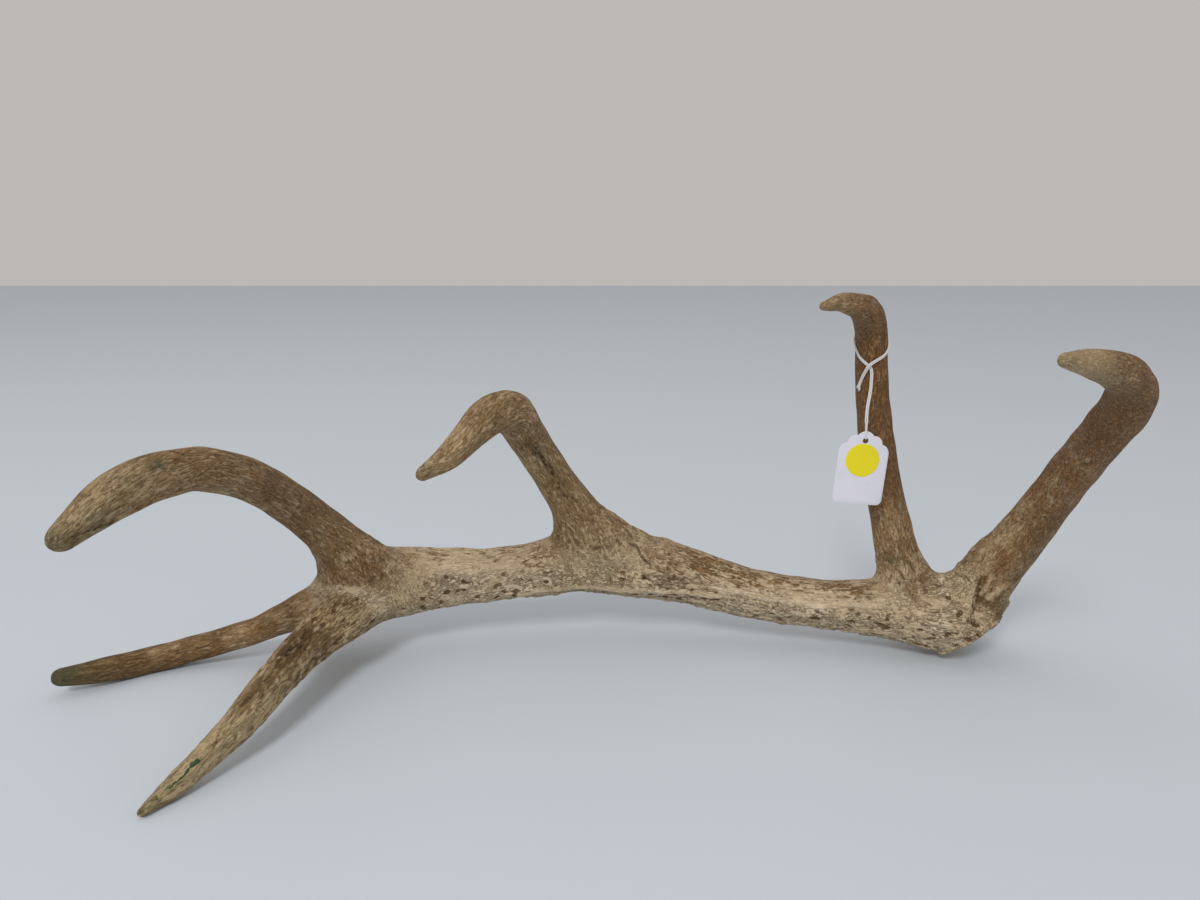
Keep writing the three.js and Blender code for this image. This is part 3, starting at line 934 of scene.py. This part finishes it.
def markSkin(points, places, shares, pearled, tip, sawn, bumps):
    # what the bone's finish reads at every point
    stain = profileAlong(places, shares, "stain")
    warmth = profileAlong(places, shares, "warmth")
    beamPlace = places["beam"]
    stain += 0.34 * shares["beam"] * smoothStep(0.25, 0.95, beamPlace["level"])
    wander = jittered(points, 2.5, 6, 3.0)
    for route, halfWidth, change, redder in patches.values():
        share = np.exp(-((awayFrom(route, points, wander) / halfWidth) ** 2))
        stain += change * share
        warmth += redder * share
    ridge = np.zeros(len(points))
    for route, halfWidth, rise in ridges.values():
        away = awayFrom(route, points, points)
        ridge = np.maximum(ridge, 1 - smoothStep(0.3 * halfWidth, 1.3 * halfWidth, away))
    green = np.zeros(len(points))
    for place, radius, strength in greenStains.values():
        away = awayFrom(place, points, wander)
        green = np.maximum(green, strength * np.exp(-((away / radius) ** 2)))
    crooked = jittered(points, 1.5, 2.6, 5.0)
    # the grain of the nearest tine, and how clearly it is the nearest
    tineNames = [name for name in places if name != "beam"]
    tineReach = np.stack([places[name]["reach"] for name in tineNames])
    nearest = tineReach.argmin(0)
    nearestTwo = np.partition(tineReach, 1, axis=0)[:2]
    apart = smoothStep(0.05, 0.45, nearestTwo[1] - nearestTwo[0])
    grainAxes = ("across", "beside", "along")
    tineGrain = np.stack([
        np.choose(nearest, [places[name][axis] for name in tineNames]) for axis in grainAxes
    ], 1)
    curls = np.array([branches[name]["curl"] for name in tineNames])
    tineGrain[:, 2] = tineGrain[:, 2] * curls[nearest] + 900 * (nearest + 1)
    return {
        "stain": stain,
        "warmth": np.clip(warmth, 0, 1),
        "pearled": pearled,
        "tip": tip,
        "sawn": sawn,
        "ridge": ridge,
        "bumps": bumps,
        "green": green,
        "crackGap": rimGap(cracks, points, crooked, 0.6),
        "paintGap": rimGap(paintMarks, points, points),
        "beamGrain": np.stack([beamPlace[axis] for axis in grainAxes], 1),
        "tineGrain": tineGrain,
        "tineShare": (1 - shares["beam"]) * apart,
        "coreShare": np.hypot(beamPlace["across"], beamPlace["beside"]) / 26,
    }


boneColors = {
    "pale": (0.71, 0.585, 0.41, 1.0),
    # paler colour of the pearls' tops: partly worn bone, partly painted highlight
    "pearlPaleAndLit": (0.76, 0.64, 0.46, 1.0),
    "hornWarm": (0.46, 0.305, 0.145, 1.0),
    "hornCool": (0.53, 0.415, 0.22, 1.0),
    "tan": (0.5, 0.37, 0.225, 1.0),
    "brownWarm": (0.185, 0.086, 0.034, 1.0),
    "brownCool": (0.145, 0.087, 0.033, 1.0),
    "fleckWarm": (0.36, 0.2, 0.088, 1.0),
    "fleckCool": (0.31, 0.205, 0.092, 1.0),
    "shade": (0.056, 0.033, 0.015, 1.0),
    "pit": (0.125, 0.068, 0.031, 1.0),
    "crack": (0.04, 0.028, 0.018, 1.0),
    "tip": (0.39, 0.28, 0.15, 1.0),
    "greenStain": (0.062, 0.085, 0.045, 1.0),
    "paint": (0.012, 0.085, 0.032, 1.0),
    "sawn": (0.50, 0.40, 0.26, 1.0),
    "pore": (0.14, 0.088, 0.05, 1.0),
}

# Noise drawn out along the grain: its size across and along it in mm, how much longer it is on the
# tines, its detail and its distortion.
boneGrain = {
    "streak": (1.6, 12.0, 0.85, 3.0, 0.5),
    "worm": (3.2, 6.4, 1.0, 2.0, 1.2),
    "net": (1.7, 4.0, 1.25, 1.5, 0.9),
    "fine": (0.9, 2.8, 1.4, 2.0, 0.0),
}


def boneFinish():
    bone = Finish("bone")
    place = bone.objectPlace()
    grains = [bone.attribute(name, output=1) for name in ("beamGrain", "tineGrain")]
    markNames = ("tineShare", "stain", "warmth", "pearled", "tip", "sawn", "ridge", "bumps")
    tineShare, stain, warmth, pearled, tip, sawn, ridge, bumps = map(bone.attribute, markNames)

    def grained(acrossScale, alongScale, longer, detail, distortion):
        pair = []
        for grain, length in zip(grains, (alongScale, alongScale * longer)):
            stretch = (1 / acrossScale, 1 / acrossScale, 1 / length)
            sockets = {0: grain, 1: stretch}
            scaled = bone.node("ShaderNodeVectorMath", {"operation": "MULTIPLY"}, sockets)
            pair.append(bone.noise(scaled, 1.0, detail, distortion=distortion))
        return pair[0] + (pair[1] - pair[0]) * tineShare - 0.5

    streak, worm, net, fine = (grained(*values) for values in boneGrain.values())
    blotch = bone.noise(place, 60.0, 3.0, 0.6) - 0.5
    grit = bone.noise(place, 1500.0, 2.0) - 0.5

    # brown where the stain outweighs the noise
    soaked = stain + blotch + streak * 1.3 * (1 - pearled * 0.4) + fine + net * (1.3 - tineShare * 0.3)
    brownShare = bone.step(soaked - ridge * 0.4, 0.28 - tineShare * 0.24, 0.76 + tineShare * 0.24)
    # thin winding grooves where the noise crosses its middle, and short hollows at its peaks
    groove = 1 - bone.step(bone.magnitude(worm) + grit * 0.05, 0.02, 0.062)
    hollow = bone.step(worm + fine * 0.6, 0.10, 0.15)
    broken = bone.step(blotch + streak + net * 0.9, -0.14, 0.02)
    openPits = (groove * broken * 0.7 + hollow * 0.6) * (pearled * 0.9 + 0.1)
    deepPits = bone.step(fine * 0.5 - bumps, 0.2, 0.8)
    pitShare = bone.sum("MINIMUM", (openPits + deepPits * 0.85) * (1 - ridge * 0.8), 1.0)
    # the tops of the pearls are paler: partly worn bone, partly painted highlight
    pearlTopsPaleAndLit = bone.step(bumps + fine * 0.5, 0.2, 0.8)
    # a net of paler lines and flecks on the brown, with darker streaks between them
    fleck = bone.line(net, 0.008, 0.05) * bone.step(fine + streak * 0.8, -0.10, 0.12) * 0.7
    fleck = fleck + bone.step(fine + streak, 0.0, 0.2) * 0.55
    # fine dark lines along the grain of the tines
    seam = bone.line(streak, 0.004, 0.03)
    dark = bone.step(streak * -1.4 + fine * -0.7 + blotch * -0.5, 0.06, 0.28)
    crackShare = 1 - bone.step(bone.attribute("crackGap") + fine * 1.8, -0.2, 0.5)
    paintShare = 1 - bone.step(bone.attribute("paintGap") + fine * 3.0, -0.15, 0.2)

    horn = bone.blend(bone.step(warmth, 0.1, 0.4), boneColors["hornCool"], boneColors["hornWarm"])
    palest = bone.blend(tineShare * 0.9, boneColors["pale"], horn)
    mottle = bone.step(fine + streak * 0.7 + blotch * 0.4, -0.2, 0.08)
    pale = bone.blend(mottle, boneColors["tan"], palest)
    ground = bone.blend(warmth, boneColors["brownCool"], boneColors["brownWarm"])
    ground = bone.blend(dark * 0.78, ground, boneColors["shade"])
    light = bone.blend(warmth, boneColors["fleckCool"], boneColors["fleckWarm"])
    brown = bone.blend(bone.sum("MINIMUM", fleck, 1.0), ground, light)
    color = bone.blend(brownShare, pale, brown)
    layers = {
        "shade": seam * (tineShare * 0.45 + 0.1),
        "tip": bone.step(tip + fine * 1.6 + streak * 1.6, 0.45, 1.15) * 0.7,
        "pearlPaleAndLit": pearlTopsPaleAndLit * 0.35,
        "pit": pitShare * (1 - brownShare * 0.5),
        "greenStain": bone.attribute("green") * (0.75 + fine * 2.0),
        "crack": crackShare * 0.72,
        "paint": paintShare * 0.9,
    }
    for name, share in layers.items():
        color = bone.blend(share, color, boneColors[name])
    # the sawn end: a pale solid rim round a core of open pores
    sockets = {"Vector": place, "Scale": 620.0}
    pores = bone.node("ShaderNodeTexVoronoi", {"feature": "DISTANCE_TO_EDGE"}, sockets)
    inCore = 1 - bone.step(bone.attribute("coreShare") + blotch * 0.3, 0.55, 0.75)
    poreShare = bone.step(pores, 0.08, 0.22) * inCore
    sawnColor = bone.blend(poreShare * 0.85, boneColors["sawn"], boneColors["pore"])
    color = bone.blend(sawn, color, sawnColor)

    low = pitShare * -0.9 + fine * 0.6 + net * 0.7 + grit * 0.2 + streak * 1.3
    low = low - brownShare * 0.12 * pearled - seam * 0.15 - crackShare - sawn * poreShare * 1.5
    roughness = 0.68 - brownShare * 0.06 - tip * 0.10 + pitShare * 0.12 + fine * 0.15
    return bone.finish({
        "Base Color": color,
        "Roughness": roughness,
        "Specular IOR Level": 0.17,
        "Normal": bone.bump(low, 0.0012, 0.9),
    })


def partFaces(points, faces, places):
    # each face goes to the piece of its branch, or on the beam to the piece that its place is in;
    # a face with corners in two pieces goes to the upper one
    owner = {}
    for index, (tines, nodes) in enumerate(skinPieces.values()):
        owner.update({tine: index for tine in tines})
    passed = [
        ((points - place) @ np.array(facing) > 0).astype(int) for place, facing in partings.values()
    ]
    nearest = np.stack([place["reach"] for place in places.values()]).argmin(0)
    beamPiece = passed[0] + passed[1]
    options = [
        beamPiece if name == "beam" else np.full(len(points), owner[name]) for name in places
    ]
    return np.choose(nearest, options)[faces].max(1)


def capRims(points, faces):
    # a face edge with no other face on it is a rim; a triangle joins it to the middle of its parting
    after = np.roll(faces, -1, axis=1)
    size = len(points)
    forward = (faces * size + after).ravel()
    backward = (after * size + faces).ravel()
    bare = ~np.isin(forward, backward)
    start, end = faces.ravel()[bare], after.ravel()[bare]
    middles = np.array([place for place, facing in partings.values()], float)
    away = np.linalg.norm(points[start][:, None, :] - middles, axis=2)
    nearest = away.argmin(1)
    used, middleOf = np.unique(nearest, return_inverse=True)
    caps = np.stack([end, start, size + middleOf], 1)
    return np.vstack([points, middles[used]]), caps


def makeSkinPiece(name, points, faces, normals, marks, finish, nodes):
    used, numbered = np.unique(faces, return_inverse=True)
    faces = numbered.reshape(faces.shape)
    closed, caps = capRims(points[used], faces)
    mesh = makeMesh(name, closed, [faces, caps])
    extra = len(closed) - len(used)
    for key, values in marks.items():
        padding = np.zeros((extra,) + values.shape[1:])
        giveAttribute(mesh, key, np.concatenate([values[used], padding]))
    facing = np.concatenate([normals[used], np.tile([0.0, 0.0, 1.0], (extra, 1))])
    mesh.normals_split_custom_set_from_vertices(facing.tolist())
    piece = makeObject(name, mesh, finish)
    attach(piece, "root")
    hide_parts(*nodes)
    print(name, "has", len(faces), "squares")


def makeAntler():
    traces = {name: traceBranch(branch) for name, branch in branches.items()}
    points, faces = fuseShells(traces)
    print("skin fused:", len(points), "points")
    edges = edgesOf(faces)
    points = settle(points, edges, antlerSkin["overallRounds"], np.full(len(points), 0.5))
    points = fillForks(points, faces, edges, placeOnBranches(points, traces))
    places = placeOnBranches(points, traces)
    shares = shareBranches(places, antlerSkin["shareSoftness"])
    pearled = pearledShare(places, shares)
    tip = tipShare(places, shares)
    carved, sawn, bumps = carveSkin(points, faces, places, shares, pearled, tip)
    print("skin carved")
    softer = shareBranches(places, antlerSkin["markSoftness"])
    marks = markSkin(carved, places, softer, pearled, tip, sawn, bumps)
    normals = normalsOf(carved, faces)
    finish = boneFinish()
    pieceOf = partFaces(carved, faces, places)
    for index, (name, (tines, nodes)) in enumerate(skinPieces.items()):
        makeSkinPiece(name, carved, faces[pieceOf == index], normals, marks, finish, nodes)
    return carved, normals


antlerPoints, antlerNormals = makeAntler()


# In mm, in the card's own plane: x to its right, y up, the middle of its hole at (0, 0).
priceCard = {
    "thickness": 0.4,
    "halfWidth": 14.2,
    "bottom": -37,
    "cornerRadius": 3.2,
    "holeRadius": 1.6,
    "neck": (4.5, 2.9),  # where the round top over the hole ends
    "notch": (9.8, -1.6),  # between the two scallops of a shoulder
    "shoulder": (14.2, -7),  # where a shoulder runs into the straight side
    "topRadius": 5.4,
    "scallopRadius": 4.6,
    "shoulderRadius": 5.7,
    "hang": (168.9, 39.5, 139.8),
    "askew": -4.5,  # degrees
    "bow": 0.7,  # how far its sides curl back
    "twist": 0.5,
    "rows": 14,
    "pointSpacing": 0.9,
    "rim": 0.12,  # width of the rounded edge
    "color": (0.75, 0.745, 0.83, 1.0),
}

priceDot = {
    "radius": 9.5,
    "thickness": 0.12,
    "gap": 0.02,
    "middle": (-0.2, -11.3),
    "rings": 12,
    "rim": 0.1,
    "sides": 96,
    "color": (0.86, 0.73, 0.012, 1.0),
}


def arcTo(start, end, radius, spacing):
    # an arc that bulges to the left of the way from start to end, without its last point
    start, end = np.array(start, float), np.array(end, float)
    half = (end - start) / 2
    inward = np.array([half[1], -half[0]]) / np.linalg.norm(half)
    middle = start + half + inward * math.sqrt(radius**2 - half @ half)
    first = math.atan2(start[1] - middle[1], start[0] - middle[0])
    turn = 2 * math.asin(np.linalg.norm(half) / radius)
    angle = first - turn * np.linspace(0, 1, max(4, round(turn * radius / spacing)), endpoint=False)
    return middle + radius * np.stack([np.cos(angle), np.sin(angle)], 1)


def lineTo(start, end, spacing):
    start, end = np.array(start, float), np.array(end, float)
    count = max(2, round(np.linalg.norm(end - start) / spacing))
    return start + (end - start) * np.linspace(0, 1, count, endpoint=False)[:, None]


def cardOutline():
    # up the left side, over the scalloped top and down the right side, as a closed line
    card = priceCard
    spacing = card["pointSpacing"]
    side, bottom, corner = card["halfWidth"], card["bottom"], card["cornerRadius"]
    left = {name: (-card[name][0], card[name][1]) for name in ("neck", "notch", "shoulder")}
    return np.vstack([
        lineTo((-side, bottom + corner), left["shoulder"], spacing),
        arcTo(left["shoulder"], left["notch"], card["shoulderRadius"], spacing),
        arcTo(left["notch"], left["neck"], card["scallopRadius"], spacing),
        arcTo(left["neck"], card["neck"], card["topRadius"], spacing),
        arcTo(card["neck"], card["notch"], card["scallopRadius"], spacing),
        arcTo(card["notch"], card["shoulder"], card["shoulderRadius"], spacing),
        lineTo(card["shoulder"], (side, bottom + corner), spacing),
        arcTo((side, bottom + corner), (side - corner, bottom), corner, spacing),
        lineTo((side - corner, bottom), (corner - side, bottom), spacing),
        arcTo((corner - side, bottom), (-side, bottom + corner), corner, spacing),
    ])


def hangOnString(flat, height):
    # from the card's own plane to the antler's frame: it bows back by the square of x and twists
    # by x times y, then stands up facing the front and hangs a little askew
    x, y = flat[..., 0], flat[..., 1]
    side, drop = priceCard["halfWidth"], -priceCard["bottom"]
    height = height - priceCard["bow"] * (x / side) ** 2 + priceCard["twist"] * x * y / side / drop
    angle = math.radians(priceCard["askew"])
    turned = np.stack([
        x * math.cos(angle) - y * math.sin(angle),
        -height,
        x * math.sin(angle) + y * math.cos(angle),
    ], -1)
    return turned + priceCard["hang"]


def paperFinish(name, color, roughness, grainHeight):
    paper = Finish(name)
    fibres = paper.noise(paper.objectPlace(), 2600.0, 4.0, 0.65)
    cloud = paper.noise(paper.objectPlace(), 90.0, 3.0)
    worn = tuple(channel * 0.93 for channel in color[:3]) + (1.0,)
    return paper.finish({
        "Base Color": paper.blend(paper.step(cloud, 0.45, 0.75) * 0.6, color, worn),
        "Roughness": roughness + 0.08 * fibres,
        "Specular IOR Level": 0.35,
        "Normal": paper.bump(fibres, grainHeight, 0.5),
    })


def makeCard():
    # point(row, column) runs from the hole's rim straight out to the outline on the front, over the
    # rounded edge, and back to the hole on the back
    outline = cardOutline()
    reach = np.linalg.norm(outline, axis=1, keepdims=True)
    rim = outline / reach * priceCard["holeRadius"]
    share = np.linspace(0, 1, priceCard["rows"])[:, None, None]
    inset = 1 - priceCard["rim"] / reach * share
    sheet = (rim + (outline - rim) * share) * inset
    half = priceCard["thickness"] / 2
    shoulder = outline * (1 - 0.3 * priceCard["rim"] / reach)
    flat = np.vstack([sheet, np.stack([shoulder, outline, shoulder]), sheet[::-1]])
    levels = np.r_[np.full(len(sheet), half), half * 0.7, 0, -half * 0.7, np.full(len(sheet), -half)]
    points = hangOnString(flat, levels[:, None])
    rows, columns = points.shape[:2]
    faces = gridFaces(rows, columns, closed=True)
    mesh = makeMesh("price_card", points.reshape(-1, 3), [faces[:, ::-1]])
    card = makeObject("price_card", mesh, paperFinish("cardPaper", priceCard["color"], 0.62, 0.00004))
    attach(card, "root")
    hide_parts("price_tag")
    return card


def makeDot():
    # rings from the middle of the front out over a rounded edge to the middle of the back
    dot = priceDot
    thickness, count = dot["thickness"], dot["rings"]
    inner = np.linspace(0.1, 1, count) * (dot["radius"] - dot["rim"])
    radii = np.r_[inner, dot["radius"], dot["radius"], inner[::-1]]
    levels = np.r_[np.full(count, thickness), thickness * 0.7, thickness * 0.3, np.zeros(count)]
    angle = 2 * np.pi * np.arange(dot["sides"]) / dot["sides"]
    ring = np.stack([np.cos(angle), np.sin(angle)], 1)
    flat = np.array(dot["middle"]) + radii[:, None, None] * ring
    base = priceCard["thickness"] / 2 + dot["gap"]
    rings = hangOnString(flat, base + levels[:, None])
    middles = hangOnString(np.array([dot["middle"], dot["middle"]]), base + np.array([thickness, 0]))
    faces, fans = tubeFaces(*rings.shape[:2])
    points = np.vstack([rings.reshape(-1, 3), middles])
    mesh = makeMesh("price_dot", points, [faces[:, ::-1], fans[:, ::-1]])
    made = makeObject("price_dot", mesh, paperFinish("dotPaper", priceDot["color"], 0.5, 0.00002))
    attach(made, "root")
    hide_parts("tag_sticker")
    return made


tagString = {
    "diameter": 1.8,  # mm over both strands
    "strandRadius": 0.45,
    "apart": 0.92,  # mm between the middles of the two strands
    "apartAtCard": 1.32,
    "partFrom": (12.0, 6.5),  # mm before the hole where they turn to the card's front and back
    "hug": 0.5,  # mm from the bone to the middle of the string
    "slackFrom": 1.5,  # mm from the bone where it begins to hug it less
    "freeFrom": (3.5, 7.0),  # mm from the bone where it hangs free
    "nearby": 25,
    "windows": (25, 15, 9),  # points in the running means of the way out, the gap and the line
    "hangFrom": (40, 25),  # mm before the hole where the strands turn to lie side by side
    "holeSteps": 14,
    "around": 12,
    "spacing": 0.3,
    "plyPitch": 2.4,
    "plyDepth": 0.1,
    "strandStart": 1.6,  # mm from the frayed end
    "fray": 5.0,
    "loose": 0.45,  # how much further apart the strands are at the frayed end
    "fibres": 38,
    "fibreSteps": 9,
    "fibreRadius": 0.23,
    "fibreSpread": 1.9,
    # mm, from the frayed end up the front of the tine, over itself, round the back, and down to the
    # top of the card's hole
    "route": [
        (164.6, 48.6, 168.3), (164.9, 45.3, 172.1), (165.4, 41.1, 176.7),
        (166.7, 37.4, 180.6), (169.0, 36.4, 182.8), (171.5, 37.0, 184.4),
        (174.5, 37.5, 186.2), (177.5, 38.3, 188.5), (179.6, 40.3, 191.9),
        (180.1, 43.1, 195.3), (179.1, 45.8, 198.8), (177.2, 48.4, 201.7),
        (174.0, 50.9, 203.5), (169.6, 52.0, 203.1), (165.4, 52.0, 201.2),
        (162.1, 51.2, 198.0), (160.7, 49.0, 194.4), (161.0, 46.3, 191.2),
        (161.9, 44.1, 188.3), (163.0, 42.0, 185.8), (164.9, 40.1, 183.6),
        (167.1, 39.1, 181.9), (169.3, 39.0, 179.9), (170.0, 38.8, 175.5),
        (169.9, 39.1, 169.1), (169.0, 39.5, 161.7), (168.6, 39.5, 155.0),
        (168.7, 39.5, 149.3), (168.8, 39.5, 145.9), (168.9, 39.5, 141.6),
    ],
    "color": (0.83, 0.81, 0.79, 1.0),
    "shade": (0.58, 0.56, 0.54, 1.0),
}


def smoothed(values, width):
    # a running mean that leaves the two ends where they are
    kernel = np.hanning(width + 2)[1:-1]
    kernel /= kernel.sum()
    half = width // 2
    padded = np.vstack([
        2 * values[0] - values[half:0:-1], values, 2 * values[-1] - values[-2:-half - 2:-1]
    ])
    return np.stack([np.convolve(column, kernel, "valid") for column in padded.T], 1)


def stringLine():
    # the route's smooth line, drawn in to hug the bone where it runs round the tine; out points
    # away from the bone
    route = np.array(tagString["route"])
    t, along = evenSteps(route, tagString["spacing"])
    line = throughPoints(route, t)
    low, high = route.min(0) - tagString["nearby"], route.max(0) + tagString["nearby"]
    local = ((antlerPoints > low) & (antlerPoints < high)).all(1)
    skin, facing = antlerPoints[local], antlerNormals[local]
    nearest = ((skin**2).sum(1) - 2 * line @ skin.T).argmin(1)
    outWindow, gapWindow, lineWindow = tagString["windows"]
    out = unit(smoothed(facing[nearest], outWindow))
    gap = smoothed(((line - skin[nearest]) * out).sum(1)[:, None], gapWindow)
    hugging = tagString["hug"] + 0.6 * np.maximum(gap - tagString["slackFrom"], 0)
    drawn = line - out * (gap - hugging) * (1 - smoothStep(*tagString["freeFrom"], gap))
    return smoothed(drawn, lineWindow), out


def strandPly(walked, angle):
    # two plies twisted together: the radius swells twice round the strand, and the swell winds on
    # by a full turn every pitch
    return np.cos(2 * angle - 4 * np.pi * walked / tagString["plyPitch"])


def framedTube(line, normal, radius):
    # rings square to the line, whose first spoke is the part of normal that is square to it
    forward = unit(np.gradient(line, axis=0))
    spoke = unit(normal - forward * (normal * forward).sum(1)[:, None])
    spokes = [axis[:, None, :] * radius[..., None] for axis in (spoke, np.cross(forward, spoke))]
    return tubeSurface(line, *spokes, line[[0, -1]])


def strandFrame(line, out, left):
    # the way ahead, the way from one strand to the other, the way square to both, and how far the
    # strands are parted: they lie side by side on the bone, and turn to the front and back of the
    # card at the string's end; left is the distance to that end
    forward = unit(np.gradient(line, axis=0))
    beside = unit(np.cross(forward, out))
    hanging = smoothStep(*tagString["hangFrom"], left)[:, None]
    sideways = np.array([np.sign(beside[-1, 0]), 0, 0])
    beside = unit(beside * (1 - hanging) + sideways * hanging)
    square = unit(np.cross(forward, beside))
    parted = smoothStep(*tagString["partFrom"], left)[:, None]
    cosine, sine = np.cos(np.pi / 2 * parted), np.sin(np.pi / 2 * parted)
    return forward, beside * cosine + square * sine, square * cosine - beside * sine, parted


def makeThread(line, along, frame):
    # one thread: along the string on one side, through the hole, and back on the other side
    forward, beside, square, parted = frame
    half = (tagString["apart"] + (tagString["apartAtCard"] - tagString["apart"]) * parted) / 2
    half = half + tagString["loose"] * smoothStep(tagString["fray"], 0, along)[:, None]
    own = along >= tagString["strandStart"]
    bend = np.linspace(0, np.pi, tagString["holeSteps"])[1:-1, None]
    hole = line[-1] + beside[-1] * half[-1] * np.cos(bend) + forward[-1] * half[-1] * np.sin(bend)
    thread = np.vstack([(line + beside * half)[own], hole, (line - beside * half)[own][::-1]])
    plane = np.vstack([square[own], np.tile(square[-1], (len(hole), 1)), square[own][::-1]])
    walked = np.r_[0, np.cumsum(np.linalg.norm(np.diff(thread, axis=0), axis=1))][:, None]
    angle = (2 * np.pi * np.arange(tagString["around"]) / tagString["around"])[None, :]
    ply = strandPly(walked, angle)
    fromEnd = np.minimum(walked, walked[-1] - walked)
    body = tagString["strandRadius"] * (0.55 + 0.45 * smoothStep(0, 1.2, fromEnd))
    return framedTube(thread, plane, body * (1 + tagString["plyDepth"] * ply)), np.r_[ply.ravel(), 0, 0]


def makeFibre(index, random, line, along, frame):
    # one fibre of the frayed end: it leaves the strands and spreads as it goes
    forward, beside, square, parted = frame
    count = tagString["fibreSteps"]
    steps = np.linspace(
        random.uniform(3.2, tagString["fray"]), random.uniform(-2.0, -0.8), count
    )
    spread = 2 * (index + 0.5) / tagString["fibres"] - 1
    lift = random.uniform(-0.25, 0.6)
    share = np.linspace(0, 1, count)[:, None] ** 1.4
    base = np.stack([np.interp(steps, along, line[:, axis]) for axis in range(3)], 1)
    base += forward[0] * np.minimum(steps, 0)[:, None]
    sideways = beside[0] * (spread * (0.55 + (tagString["fibreSpread"] - 0.55) * share))
    curl = square[0] * (lift * share + 0.15 * np.sin(4 * share + index))
    radius = tagString["fibreRadius"] * (1 - 0.45 * share) * np.ones((1, 6))
    surface = framedTube(base + sideways + curl, np.tile(square[0], (count, 1)), radius)
    return surface, np.full(len(surface[0]), random.uniform(-0.6, 1))


def makeString():
    line, out = stringLine()
    along = np.r_[0, np.cumsum(np.linalg.norm(np.diff(line, axis=0), axis=1))]
    frame = strandFrame(line, out, along[-1] - along)
    random = np.random.default_rng(5)
    made = [makeThread(line, along, frame)]
    made += [makeFibre(i, random, line, along, frame) for i in range(tagString["fibres"])]
    surfaces, shade = zip(*made)
    points, quads, fans = joinSurfaces(surfaces)
    mesh = makeMesh("tag_cotton", points, [quads, fans])
    giveAttribute(mesh, "ply", np.concatenate(shade))
    cotton = Finish("cotton")
    fuzz = cotton.noise(cotton.objectPlace(), 3500.0, 3.0)
    # lighter on the crowns of the plies and darker in the grooves between them: painted shade; each loose
    # fibre gets one tone of its own
    lit = cotton.step(cotton.attribute("ply") + (fuzz - 0.5) * 1.4, -0.9, 0.5)
    finish = cotton.finish({
        "Base Color": cotton.blend(lit, tagString["shade"], tagString["color"]),
        "Roughness": 0.9,
        "Specular IOR Level": 0.2,
        "Sheen Weight": 0.25,
        "Sheen Roughness": 0.5,
        "Normal": cotton.bump(fuzz, 0.00012, 0.6),
    })
    string = makeObject("tag_cotton", mesh, finish)
    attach(string, "root")
    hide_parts("tag_string")
    path = line * mm
    print("string is", round(along[-1], 1), "mm long")


cardPieces = [makeCard(), makeDot()]
print("card and dot hang")
makeString()


def makeFloor():
    half = studio["floorHalf"]
    corners = np.array([[-half, -half, 0], [half, -half, 0], [half, half, 0], [-half, half, 0]])
    paint = Finish("floorPaint")
    grain = paint.noise(paint.objectPlace(), 60.0, 3.0)
    mesh = makeMesh("floor", corners / mm, [np.arange(4).reshape(1, 4)])
    floor = makeObject("floor", mesh, paint.finish({
        "Base Color": studio["floorColor"],
        "Roughness": 0.5 + 0.1 * grain,
    }))


makeFloor()
print("floor is laid")
